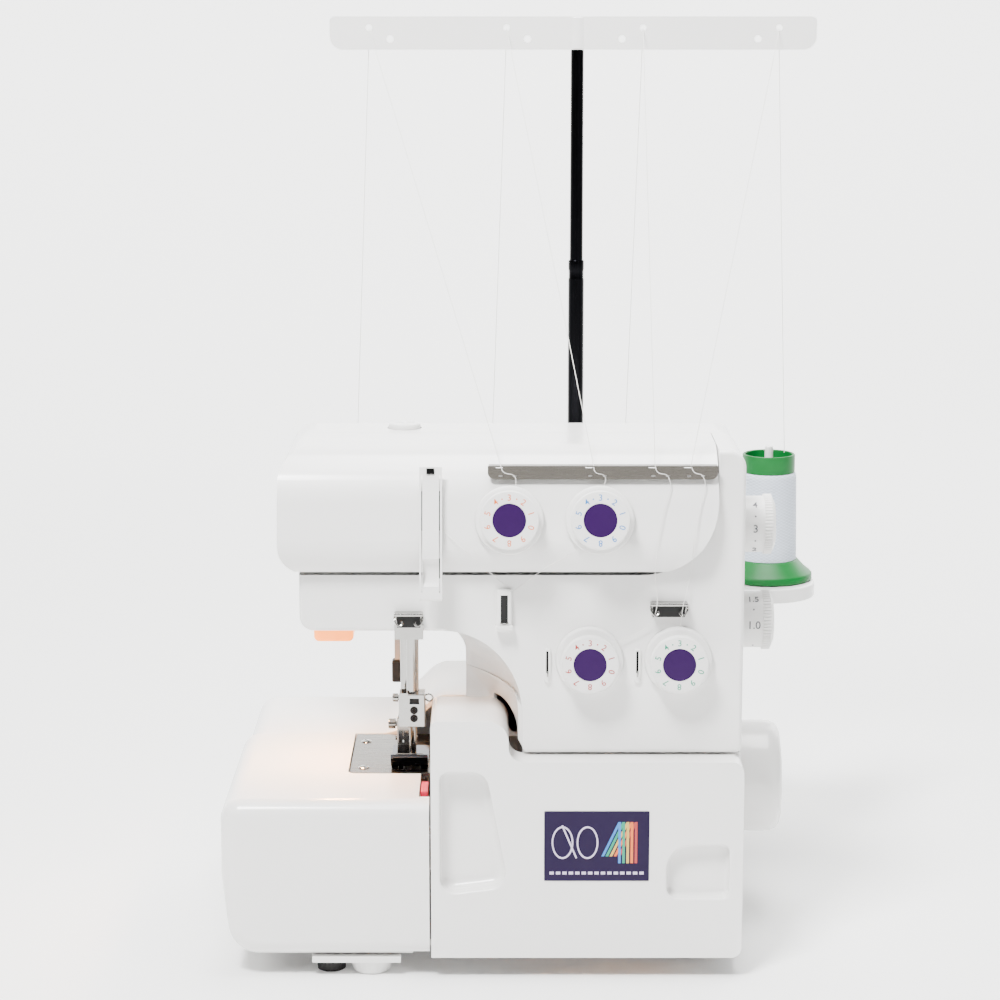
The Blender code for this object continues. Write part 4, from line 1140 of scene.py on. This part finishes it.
class OVERLOCK_OT_spools(Piece, Operator):
    """Makes the four spools: a green core and the thread wound on it"""

    bl_idname = "overlock.spools"
    bl_label = "Spools"

    def execute(self, context):
        core = turned("core", [
            (3.9, 70), (14.3, 70), (14.9, 71), (14.9, 79.2), (15.4, 79.7), (16.1, 79.7),
            (16.5, 79.2), (16.5, 69), (16.2, 68.4), (14.5, 68.2), (14.5, 13), (18.4, 12.8),
            (19.6, 12.2), (24, 7.4), (27.4, 4.8), (28.4, 3.6), (28.5, 0.8), (28, 0.2), (26.8, 0),
            (3.9, 0),
        ], (0, 0, 0), steps=96)
        turns = self.sizes.bobbin_turns
        sides = []
        for step in range(turns * 2 + 1):
            share = step / (turns * 2)
            radius = 17.5 + 0.9 * (1 - share) + (0.07 if step % 2 else -0.07)
            if share > 0.94:
                radius -= 0.8 * ((share - 0.94) / 0.06) ** 2
            sides.append((radius, 12.9 + 55.3 * share))
        yarn = turned("yarn", [(14.4, 68.2), *reversed(sides), (14.4, 12.9)], (0, 0, 0), steps=80)
        sets = sets_of((core, yarn), len(SPOOLS_X))
        for number, (x, parts) in enumerate(zip(SPOOLS_X, sets), 1):
            body = "spool_" + str(number)
            for part, kind in zip(parts, ("core", "yarn")):
                part.name = part.data.name = body + "_" + kind
                part.location = Vector((x, SPOOL_ROW, TRAY_TOP + 0.3)) * MM
            done(parts[0], PAINT["spool"], body, "spool_green", "thread_" + body, angle=40)
            done(parts[1], PAINT["wound"], body, "thread", angle=60)
        return {"FINISHED"}


class OVERLOCK_OT_threads(Piece, Operator):
    """Strings each thread from its spool, over the stand and down the front"""

    bl_idname = "overlock.threads"
    bl_label = "Threads"

    def execute(self, context):
        radius = self.sizes.thread_thickness / MM / 2
        runs = {
            1: [(-20.5, -118.7, 292.8), (-19, -120.2, 289.4), (-12.7, -119.5, 286.6),
                (-12.2, -121.4, 281)],
            2: [(30.5, -118.7, 292.8), (31.4, -120.2, 289.4), (36.8, -119.5, 286.6),
                (36.2, -121.4, 281)],
            3: [(64.3, -118.7, 292.8), (65.5, -120.2, 289.4), (71.5, -119.5, 286.6),
                (68.6, -124, 266), (65.2, -126.6, 246), (64.8, -126, 238), (65, -119.6, 230),
                (66, -120.6, 214), (62, -117, 203), (44, -116, 192)],
            4: [(84.1, -118.7, 292.8), (85.5, -120.2, 289.4), (90.7, -119.5, 286.6),
                (88, -124, 266), (85.6, -126.4, 249), (84.4, -116.6, 230), (80.6, -120.6, 214),
                (79.6, -116.4, 203), (79.3, -116, 199)],
        }
        for number, (start, eyelet, end) in enumerate(zip(STARTS_X, EYELETS_X, ENDS_X), 1):
            name = "thread_" + str(number)
            top = (eyelet, 88.9, THREAD_TOP)
            taut = (
                ("_rear", [(start, SPOOL_ROW, THREAD_START), (eyelet, 92.2, 525.4), top]),
                ("_front", [top, (end, -118.5, THREAD_END)]),
            )
            for part, points in taut:
                low = min(z for x, y, z in points)
                run = wire(name + part, points, radius, smooth=False)
                done(run, PAINT["thread"], "machine", "thread", name)
                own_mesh(run)
            down = wire(name + "_down", runs[number], radius)
            done(down, PAINT["thread"], "machine", "thread")
        crossing = [
            ("cross_left", [(-52.6, -125, 258), (-36, -127, 243), (-18.8, -118.8, 226)]),
            ("cross_right", [(22, -127.4, 247), (6, -127, 238), (-13.6, -118.8, 222)]),
        ]
        for name, points in crossing:
            done(wire(name, points, radius), PAINT["thread"], "machine", "thread")
        return {"FINISHED"}


FITTINGS = (
    OVERLOCK_OT_face_dials, OVERLOCK_OT_side_dials, OVERLOCK_OT_handwheel, OVERLOCK_OT_tray,
    OVERLOCK_OT_stand, OVERLOCK_OT_guide_bar, OVERLOCK_OT_spools, OVERLOCK_OT_threads,
)


# --- guides, badge and needle area ---------------------------------------------


# Holes along the long guide plate, in pairs: a notch stands over the first of each pair.
PLATE_HOLES = (-20.5, -12.7, 28.7, 36.8, 63.3, 71.5, 82.9, 90.7)
FEED_FRONT, FEED_BACK = -62.8, -21.2  # ends of the feed dog's slots


class OVERLOCK_OT_guides(Piece, Operator):
    """Makes the thread guides on the front: the long plate, the slots and the hooks"""

    bl_idname = "overlock.guides"
    bl_label = "Thread Guides"

    def long_plate(self):
        corners = [(-27.5, 285, 4), (99, 285, 4), (99, 292.5, 0.6), (-27.5, 292.5, 0.6)]
        plate = slab("long_guide", corners, "Y", -119.3, -118.1, 10)
        hole = ball("guide_hole", (0, -118.7, 286.9), (1.3, 3, 0.6), 24)
        notch = block("guide_notch", (-2.6, -121, 291.2), (1.2, -117, 294))
        cut(
            plate, *repeated(hole, [(x, 0, 0) for x in PLATE_HOLES]),
            *repeated(notch, [(x, 0, 0) for x in PLATE_HOLES[::2]]))
        round_where(plate, on_level("Y", -119.3), 0.3, 3)
        done(plate, PAINT["ground"], "machine", "plate_steel", "thread_guide_plate")
        lip = [(-118.1, 291.6, 0), (-113, 291.6, 0), (-113, 292.4, 0), (-118.1, 292.4, 0)]
        shelf = slab("guide_shelf", lip, "X", -27, 98.5)
        done(shelf, PAINT["ground"], "machine", "plate_steel")

    def needle_guide(self):
        frame = block("slot_frame", (-22.6, -118.6, 201), (-14.2, -114, 222.6))
        round_where(frame, sharp, 1.2, 4)
        foot = block("slot_foot", (-23.4, -120.4, 199.6), (-13.4, -114, 202.6))
        join(frame, round_where(foot, sharp, 1, 4))
        cut(frame, block("slot_room", (-20.4, -122, 203.6), (-16.4, -116, 219.6)))
        done(frame, PAINT["abs"], "machine", "white_abs", "needle_thread_guide")
        # A black block fills the slot: painted shade inside it.
        core = block("slot_core", (-20.4, -118.2, 203.6), (-16.4, -115, 219.6))
        done(core, PAINT["black"], "machine", "black_plastic")
        clip = wire("slot_clip", [(-20.6, -118.9, 204), (-18.4, -120, 203.4),
                                  (-16.2, -118.9, 204)], 0.35)
        done(clip, PAINT["chrome"], "machine", "chrome_steel")

    def hooks(self, name, left, right, low, high, tongue, *nodes):
        """A bent chrome guide with a dark mouth of painted shade and a hook at each end."""
        y = FACE
        top = block(name + "_roof", (left, y - 6.4, high - 1.8), (right, y, high))
        round_where(top, sharp, 0.6, 3)
        back = block(name + "_back", (left + 1, y - 1, low), (right - 1, y, high))
        parts = [top, back]
        for x, side in ((left + 1.2, 1), (right - 1.2, -1)):
            parts.append(wire(name + "_hook", [
                (x, y - 1, high - 1), (x - side * 0.8, y - 5.6, high - 3.6),
                (x + side * 1.6, y - 6.4, low + 1.6), (x + side * 3.4, y - 5.8, low + 2.6),
                (x + side * 3.2, y - 5.4, low + 4)], 0.55))
        if tongue:
            parts.append(block(name + "_tongue", (left, y - 0.9, tongue), (right, y, low + 1)))
        done(group(name + "_metal", parts), PAINT["chrome"], "machine", "chrome_steel", *nodes)
        # The mouth is a black block: painted shade inside the bent guide.
        mouth = block(name + "_mouth", (left + 1.6, y - 3.4, low), (right - 1.6, y - 0.6, high - 2))
        done(mouth, PAINT["black"], "machine", "black_plastic")

    def slits(self):
        """The two small slit guides beside the lower dials."""
        for index, x in enumerate((5.7, 55.9)):
            name = "slit_" + str(index + 1)
            pod = slab(name + "_pod", [
                (x - 2, 168.8, 1.9), (x + 2, 168.8, 1.9), (x + 2, 188.4, 1.9), (x - 2, 188.4, 1.9),
            ], "Y", FACE - 1.6, FACE + 0.2)
            round_where(pod, on_level("Y", FACE - 1.6), 0.7, 3)
            done(pod, PAINT["abs"], "machine", "white_abs")
            # The slit is a black strip on the pod: painted shade, not an opening.
            line = block(name + "_line", (x - 0.7, FACE - 1.75, 174.6), (x + 0.5, FACE - 1, 187))
            done(line, PAINT["gap"], "machine", "black_plastic")
            pin = wire(name + "_pin", [(x, FACE - 1, 173.4), (x, FACE - 3, 173),
                                       (x + 0.3, FACE - 3.2, 176)], 0.4)
            done(pin, PAINT["chrome"], "machine", "chrome_steel")

    def execute(self, context):
        self.long_plate()
        self.needle_guide()
        self.hooks("looper_guide", 62.5, 83.5, 207, 215.4, None, "looper_thread_guide")
        self.hooks("bar_guide", -79.6, -63.4, 201, 209.6, 193.6)
        self.slits()
        return {"FINISHED"}


class OVERLOCK_OT_take_up(Piece, Operator):
    """Makes the take-up cover, with its slots and sunken lower end"""

    bl_idname = "overlock.take_up"
    bl_label = "Take-up Cover"

    def execute(self, context):
        profile = [
            (-131.5, 219, 2), (-127.2, 219, 0), (-127.2, 241, 0), (-118.6, 290, 0),
            (-121.5, 293.5, 0.8), (-131.5, 247, 20),
        ]
        hood = slab("take_up_hood", profile, "X", -65, -52.5, 12)
        round_where(hood, lambda edge: sharp(edge) and all(
            vert.co.y / MM < -121 for vert in edge.verts), 1.1, 5)
        cut(
            hood, bar("dip", (-63.1, -139.6, 235), (-54.4, -139.6, 235), 11.4, sides=96),
            block("left_groove", (-63.9, -134, 224), (-63.3, -117, 288)),
            block("right_groove", (-54.2, -134, 224), (-53.6, -117, 288)))
        done(hood, PAINT["abs"], "machine", "white_abs", "take_up_cover", angle=50)
        # Slits in the slanted face follow it, so each is a thin strip along the profile.
        # The slits, the window and the foot line are black strips of painted shade, not openings.
        dark = []
        for x, low, high in ((-63.6, 258, 279), (-53.9, 258, 279), (-53.9, 232, 243)):
            edge = -131.3 if low < 247 else -127.9
            far = -131.3 if high < 247 else -124.6
            strip = [(edge, low, 0), (edge + 3, low, 0), (far + 3, high, 0), (far, high, 0)]
            dark.append(slab("slit", strip, "X", x - 0.33, x + 0.33))
        dark.append(block("window", (-61.1, -123.2, 288.6), (-56.8, -121.4, 291.6)))
        dark.append(block("foot_line", (-62.6, -131, 223.4), (-54.9, -128, 224.1)))
        done(group("take_up_slits", dark), PAINT["gap"], "machine", "black_plastic")
        return {"FINISHED"}


class OVERLOCK_OT_badge(Piece, Operator):
    """Makes the badge on the door: a violet film with plain coloured strokes"""

    bl_idname = "overlock.badge"
    bl_label = "Badge"

    def execute(self, context):
        face = FRONT - 0.32
        corners = [(3.9, 57.6, 0.5), (62.8, 57.6, 0.5), (62.8, 98.2, 0.5), (3.9, 98.2, 0.5)]
        film = slab("badge_film", corners, "Y", face, FRONT + 0.2, 3)
        done(film, PAINT["badge"], "looper_door", "white_abs")
        loops = []
        for start in (8.2, 22.2):
            turns = [math.radians(200 - step * 15) for step in range(25)]
            loops.append(wire("loop", [
                (start + 6 + 5.6 * math.cos(turn), face - 0.05, 80 + 9 * math.sin(turn))
                for turn in turns], 0.5))
        loops.append(wire("loop", [(14, face - 0.05, 90), (22, face - 0.05, 71)], 0.5))
        dash = block("dash", (7, face - 0.12, 61.4), (9.4, face, 63))
        loops += repeated(dash, [(step * 3.6, 0, 0) for step in range(15)])
        done(group("badge_strokes", loops), PAINT["ink_pale"], "looper_door", "white_abs")
        strokes = ("ink_blue", "ink_green", "ink_gold", "ink_orange", "ink_red")
        for index, ink in enumerate(strokes):
            x = 36 + index * 2.3
            band = [(x, 72, 0), (x + 1.5, 72, 0), (x + 10.9, 92, 0), (x + 9.4, 92, 0)]
            mark = slab("band_" + str(index + 1), band, "Y", face - 0.1, face + 0.1)
            post = block("post", (x + 9.4, face - 0.12, 68), (x + 10.9, face, 92))
            done(group("band_" + str(index + 1), [mark, post]), PAINT[ink], "looper_door",
                 "white_abs")
        return {"FINISHED"}


def screw(name, place, radius, height, slot_turn=0.5):
    """A round head screw with a driver slot, standing on a level face."""
    head = turned(name, [
        (0, height), (radius * 0.55, height * 0.94), (radius * 0.9, height * 0.6),
        (radius, height * 0.2), (radius, -0.5), (0, -0.5),
    ], (0, 0, 0), steps=32)
    slit = block(name + "_slot", (-radius - 1, -radius * 0.13, height * 0.45),
                 (radius + 1, radius * 0.13, height + 1))
    cut(head, slit)
    head.rotation_euler.z = slot_turn
    head.location = Vector(place) * MM
    return settle(head)


class OVERLOCK_OT_needle_plate(Piece, Operator):
    """Makes the needle plate with its screws, the feed dog and the small side knob"""

    bl_idname = "overlock.needle_plate"
    bl_label = "Needle Plate"

    def execute(self, context):
        outline = [(-108, -69.5, 4.4), (-61, -69.5, 1), (-61, 14, 1), (-108, 14, 1)]
        plate = slab("stitch_plate", outline, "Z", 101.4, 102.9, 10)
        slots = [block("feed_slot", (x, FEED_FRONT, 100), (x + 3.2, FEED_BACK, 104))
                 for x in (-80.4, -75.6, -70.4)]
        cut(plate, *slots, block("needle_slot", (-74.6, -50.5, 100), (-68.4, -45, 104)))
        round_where(plate, on_level("Z", 102.9), 0.25, 3)
        done(plate, PAINT["ground"], "machine", "plate_steel", "needle_plate")
        heads = [screw("plate_screw", (-100.2, -58, 102.8), 3.4, 1, 0.6),
                 screw("plate_screw", (-101.3, -3, 102.8), 3.4, 1, 2.2)]
        done(group("plate_screws", heads), PAINT["chrome"], "machine", "chrome_steel")
        edge = [(0, 101, 0), (1.5, 101, 0), (1.5, 101.6, 0), (0.3, 102.6, 0)]
        tooth = slab("tooth", edge, "X", 0, 2.2)
        teeth = repeated(tooth, [
            (x, -60 + step * 1.55, 0) for x in (-79.9, -75.1, -69.9) for step in range(22)])
        done(group("feed_teeth", teeth), PAINT["ground"], "feed", "plate_steel")
        knob = block("finger_grip", (-65.8, -106, 97), (-61.6, -86, 103))
        round_where(knob, sharp, 1.6, 5)
        done(knob, PAINT["knob"], "finger_knob", "red_plastic")
        return {"FINISHED"}


class OVERLOCK_OT_needle_parts(Piece, Operator):
    """Makes the needle bar and the clamp with its needle bores, the presser bar and the foot"""

    bl_idname = "overlock.needle_parts"
    bl_label = "Needle Bar and Foot"

    def clamp(self):
        body = block("clamp_block", (-79.8, -54.5, 126), (-64.3, -41.5, 146))
        round_where(body, sharp, 0.7, 3)
        cut(
            body, block("clamp_step", (-82, -56, 124), (-74.4, -52.4, 148)),
            block("clamp_slot", (-73.6, -56, 140), (-67.8, -52.6, 143.4)),
            *[bar("needle_bore", (x, -48, 120), (x, -48, 130), 1.05) for x in (-73.2, -70.4)])
        loop = wire("clamp_loop", [
            (-64.6, -52, 145), (-61.4, -53, 145.6), (-60, -53, 143.6), (-61.6, -53, 141.6),
            (-64.4, -52, 142.6)], 0.5)
        knob = turned("clamp_knob", [
            (0, 4), (1.8, 3.9), (2.4, 3.4), (2.5, 0.6), (1.5, 0.4), (1.5, -1), (0, -1),
        ], (-79.8, -48, 142.4), (-1, 0, 0), steps=32)
        shaft = bar("needle_shaft", (*NEEDLE_AXIS, 146), (*NEEDLE_AXIS, 262), 3.6, sides=48)
        done(group("needle_clamp_body", [body, loop, knob]), PAINT["chrome"], "needle_carrier",
             "chrome_steel", "needle_clamp")
        done(shaft, PAINT["chrome"], "needle_carrier", "chrome_steel", "needle_bar")
        socket = turned("clamp_screw", [
            (0, 0.2), (1.1, 0.2), (1.3, 0.9), (2.1, 0.8), (2.3, 0.3), (2.3, -1), (0, -1),
        ], (-70.9, -54.5, 0), (0, -1, 0), steps=24)
        sockets = repeated(socket, [(0, 0, height) for height in (136.4, 131.6)])
        # A black block in the clamp's slot: painted shade.
        dark = block("slot_dark", (-73.4, -53.2, 140.1), (-68, -52.5, 143.3))
        done(group("clamp_screws_and_slot_shade", [*sockets, dark]), PAINT["black"], "needle_carrier",
             "chrome_steel")

    def foot(self):
        profile = [
            (-31, 103.4, 0), (-23, 105.3, 0), (-23, 106.6, 0.6), (-30, 106.4, 0),
            (-55, 105.8, 6), (-65.4, 113.4, 2), (-67.4, 112.2, 1), (-61, 104.4, 5), (-56, 103.4, 0),
        ]
        sole = slab("foot_sole", profile, "X", -84.3, -62.7, 8)
        cut(
            sole, block("toe_slot", (-75.6, -53, 100), (-67.8, -43, 116)),
            block("toe_corner_l", (-90, -75, 100), (-83, -66, 120)))
        round_where(sole, sharp, 0.5, 3)
        hinge = block("foot_hinge", (-81.4, -39.4, 105), (-70.6, -29.6, 112))
        round_where(hinge, sharp, 0.6, 3)
        tab = block("foot_tab", (-77.6, -38, 110), (-74.4, -31, 118.4))
        pin = bar("foot_pin", (-82.6, -34, 114), (-69.4, -34, 114), 1.3, sides=24)
        finger = bar("foot_rod", (-81.6, -50, 108.4), (-66, -50, 108.4), 0.9, sides=16)
        metal_parts = group("foot_metal", [hinge, tab, pin, finger])
        # The sole takes the darkened chrome: a painted dark reflection.
        done(sole, PAINT["chrome_dark_reflection"], "foot", "chrome_steel", "presser_foot")
        done(metal_parts, PAINT["chrome"], "foot", "chrome_steel", "presser_foot")

    def execute(self, context):
        self.clamp()
        self.foot()
        rod = bar("presser_shaft", (*PRESSER_AXIS, 125), (*PRESSER_AXIS, 280), 3.4, sides=48)
        ankle = block("ankle", (-81.5, -39.5, 111.5), (-70.5, -29.5, 128))
        round_where(ankle, sharp, 0.9, 4)
        cut(ankle, block("ankle_slot", (-78.2, -42, 110), (-73.8, -28, 119.4)))
        thumb = turned("ankle_screw", [
            (0, 5.4), (2.6, 5.2), (3, 4.6), (3, 1), (1.6, 0.8), (1.6, -0.6), (0, -0.6),
        ], (-81.5, -34.5, 123), (-1, 0, 0), steps=32)
        done(group("presser_rod", [rod, ankle, thumb]), PAINT["chrome"], "presser",
             "chrome_steel", "presser_bar")
        knob = turned("pressure_knob_top", [
            (0, 11.4), (2.2, 11.4), (2.6, 12), (7.6, 12.2), (8.8, 11.6), (9.3, 10.4), (9.3, 0.6),
            (8.6, 0), (0, 0),
        ], (*PRESSER_AXIS, 291))
        cut(knob, block("coin_slot", (-82, -34.8, 301.6), (-70, -33.2, 305)))
        done(knob, PAINT["abs_plain"], "pressure_knob", "white_abs", "pressure_screw")
        return {"FINISHED"}


class OVERLOCK_OT_lamp_lens(Piece, Operator):
    """Makes the lit lens under the head and the presser lifter beside it"""

    bl_idname = "overlock.lamp_lens"
    bl_label = "Lamp and Lifter"

    def execute(self, context):
        lens = block("lens", (-129, -52, 176.5), (-106, -24, 186.7))
        round_where(lens, sharp, 3, 6)
        done(lens, PAINT["lamp"], "machine", "lamp_lens", "lamp_lens")
        arm = block("lifter_arm", (-84.4, 4, 148), (-81, 8, 182))
        hub = bar("lifter_hub", (-86, 6, 178), (-79.5, 6, 178), 5, sides=48)
        tip = block("lifter_tip", (-86, 1.6, 138.4), (-79.5, 9.6, 152))
        round_where(tip, sharp, 1.2, 4)
        done(group("lifter_lever", [arm, hub]), PAINT["casting"], "lifter", "black_plastic",
             "presser_lifter")
        done(tip, PAINT["black"], "lifter", "black_plastic")
        return {"FINISHED"}


class OVERLOCK_OT_inner_parts(Piece, Operator):
    """Gives the parts kept from the frame their finished materials"""

    bl_idname = "overlock.inner_parts"
    bl_label = "Inner Parts"

    SLOTS = {
        "white_abs": "abs", "plate_steel": "ground", "chrome_steel": "chrome",
        "die_casting": "casting", "motor_steel": "motor", "black_plastic": "black",
        "black_pole": "pole", "foot_rubber": "rubber", "red_plastic": "knob",
        "spool_green": "spool", "lamp_lens": "lamp", "thread": "thread",
    }

    def execute(self, context):
        for part in frame["record"]["subparts"]:
            kept = frame["nodes"][part["node"]]
            paint = "abs_plain" if kept.name == "base_pan" else self.SLOTS[part["material_slot"]]
            for place in kept.material_slots:
                place.material = PAINT[paint]
        return {"FINISHED"}


DETAILS = (
    OVERLOCK_OT_guides, OVERLOCK_OT_take_up, OVERLOCK_OT_badge, OVERLOCK_OT_needle_plate,
    OVERLOCK_OT_needle_parts, OVERLOCK_OT_lamp_lens, OVERLOCK_OT_inner_parts,
)


# --- studio -------------------------------------------------------------------


def lamp(name, place, target, width, height, power, colour=(1, 1, 1)):
    """A soft rectangular light, turned to a target."""
    rest()
    bpy.ops.object.light_add(type="AREA", location=place)
    light = bpy.context.object
    light.name = name
    light.data.shape = "RECTANGLE"
    light.data.size = width
    light.data.size_y = height
    light.data.energy = power
    light.data.color = colour
    light.rotation_euler = (Vector(target) - Vector(place)).to_track_quat("-Z", "Y").to_euler()
    return light


def sky(tree):
    """Soft light from overhead, with a darker band at eye level for metal to mirror."""
    place = add(tree, "TexCoord").outputs["Generated"]
    up = add(tree, "SeparateXYZ", {"Vector": place}).outputs["Z"]
    level = add(tree, "MapRange", {"Value": up, "From Min": 0.05, "From Max": 0.6,
                                   "To Min": 0.05, "To Max": 0.36}).outputs[0]
    background = tree.nodes["Background"]
    background.inputs["Color"].default_value = (1, 1, 1, 1)
    tree.links.new(level, background.inputs["Strength"])


def backdrop():
    """Matt white paper that glows: painted light in its emission, growing towards the back where it
    rises.
    """
    material, tree, shader, place = surface("paper_white_glowing", linear("#F4F4F3"), Roughness=0.9)
    fibre = add(tree, "TexNoise", {"Vector": place, "Scale": 300, "Detail": 3}).outputs["Fac"]
    white = tint(tree, fibre, linear("#EFEFEE"), linear("#F7F7F6"))
    tree.links.new(white, shader.inputs["Base Color"])
    tree.links.new(white, shader.inputs["Emission Color"])
    # Painted light: the emission grows from dim at the front to bright at the back.
    back = add(tree, "SeparateXYZ", {"Vector": place}).outputs["Y"]
    glow = add(tree, "MapRange", {"Value": back, "From Min": 0.1, "From Max": 2.6,
                                  "To Min": 0.12, "To Max": 3.2}).outputs[0]
    tree.links.new(glow, shader.inputs["Emission Strength"])
    return material


class OVERLOCK_OT_stage(Piece, Operator):
    """Sets the pale floor and backdrop, the soft lights and the camera"""

    bl_idname = "overlock.stage"
    bl_label = "Studio"

    def execute(self, context):
        rest()
        bpy.ops.mesh.primitive_plane_add(size=1)
        floor = named("studio_floor")
        for vert, (x, y) in zip(floor.data.vertices, [(-6, -4), (6, -4), (-6, 3), (6, 3)]):
            vert.co = (x, y, -0.0002)
        sheet = edit(floor)
        choose(floor, sheet.edges, lambda edge: all(v.co.y > 2.9 for v in edge.verts))
        bpy.ops.mesh.extrude_region_move(TRANSFORM_OT_translate={"value": (0, 0, 4)})
        close_edit()
        round_where(floor, lambda edge: all(
            v.co.y > 2.9 and v.co.z < 0.1 for v in edge.verts), 1400, 16)
        bpy.ops.object.shade_smooth()
        floor.data.materials.append(backdrop())
        world = bpy.data.worlds.new("studio")
        context.scene.world = world
        world.use_nodes = True
        sky(world.node_tree)
        middle = (0, 0, 0.2)
        lamp("key", (-0.5, -0.95, 1.75), middle, 0.42, 0.42, 92)
        lamp("fill", (1.3, -1.5, 0.9), middle, 0.7, 1.0, 3)
        lamp("top", (0.15, 0.0, 1.7), middle, 1.0, 0.8, 52)
        lamp("rim", (0.9, 1.2, 1.0), middle, 0.8, 1.0, 8)
        lamp("needle_lamp", (-0.1175, -0.037, 0.1755), (-0.1175, -0.05, 0.1), 0.02, 0.02, 0.6,
             linear("#FFB877"))
        rest()
        bpy.ops.object.camera_add(location=(-0.0205, -1.571, 0.550))
        camera = bpy.context.object
        camera.name = "camera"
        camera.data.lens = 96.8
        camera.data.sensor_width = 36
        camera.data.clip_end = 60
        aimed = Vector((-0.0208, 0, 0.2508)) - camera.location
        camera.rotation_euler = aimed.to_track_quat("-Z", "Y").to_euler()
        context.scene.camera = camera
        return {"FINISHED"}


# --- add-on -------------------------------------------------------------------


PIECES = (*COVERS, *FITTINGS, *DETAILS)


class OVERLOCK_PT_maker(Panel):
    """Lists every piece that the add-on makes"""

    bl_idname = "OVERLOCK_PT_maker"
    bl_label = "Overlock Machine"
    bl_space_type = "VIEW_3D"
    bl_region_type = "UI"
    bl_category = "Overlock"

    def draw(self, context):
        for owner in (context.scene.overlock_sizes, context.scene.overlock_colours):
            for name in type(owner).__annotations__:
                self.layout.prop(owner, name)
        for maker in (*PIECES, OVERLOCK_OT_stage):
            self.layout.operator(maker.bl_idname)


CLASSES = (OVERLOCK_sizes, OVERLOCK_colours, *PIECES, OVERLOCK_OT_stage, OVERLOCK_PT_maker)


def register():
    for each in CLASSES:
        bpy.utils.register_class(each)
    bpy.types.Scene.overlock_sizes = PointerProperty(type=OVERLOCK_sizes)
    bpy.types.Scene.overlock_colours = PointerProperty(type=OVERLOCK_colours)


def unregister():
    del bpy.types.Scene.overlock_colours
    del bpy.types.Scene.overlock_sizes
    for each in reversed(CLASSES):
        bpy.utils.unregister_class(each)


def main():
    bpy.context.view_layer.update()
    register()
    PAINT.update(make_materials())
    for maker in (*PIECES, OVERLOCK_OT_stage):
        group_name, name = maker.bl_idname.split(".")
        result = getattr(getattr(bpy.ops, group_name), name)()
        if result != {"FINISHED"}:
            raise RuntimeError(maker.bl_idname + " made nothing")
    rest()


if __name__ == "__main__":
    main()
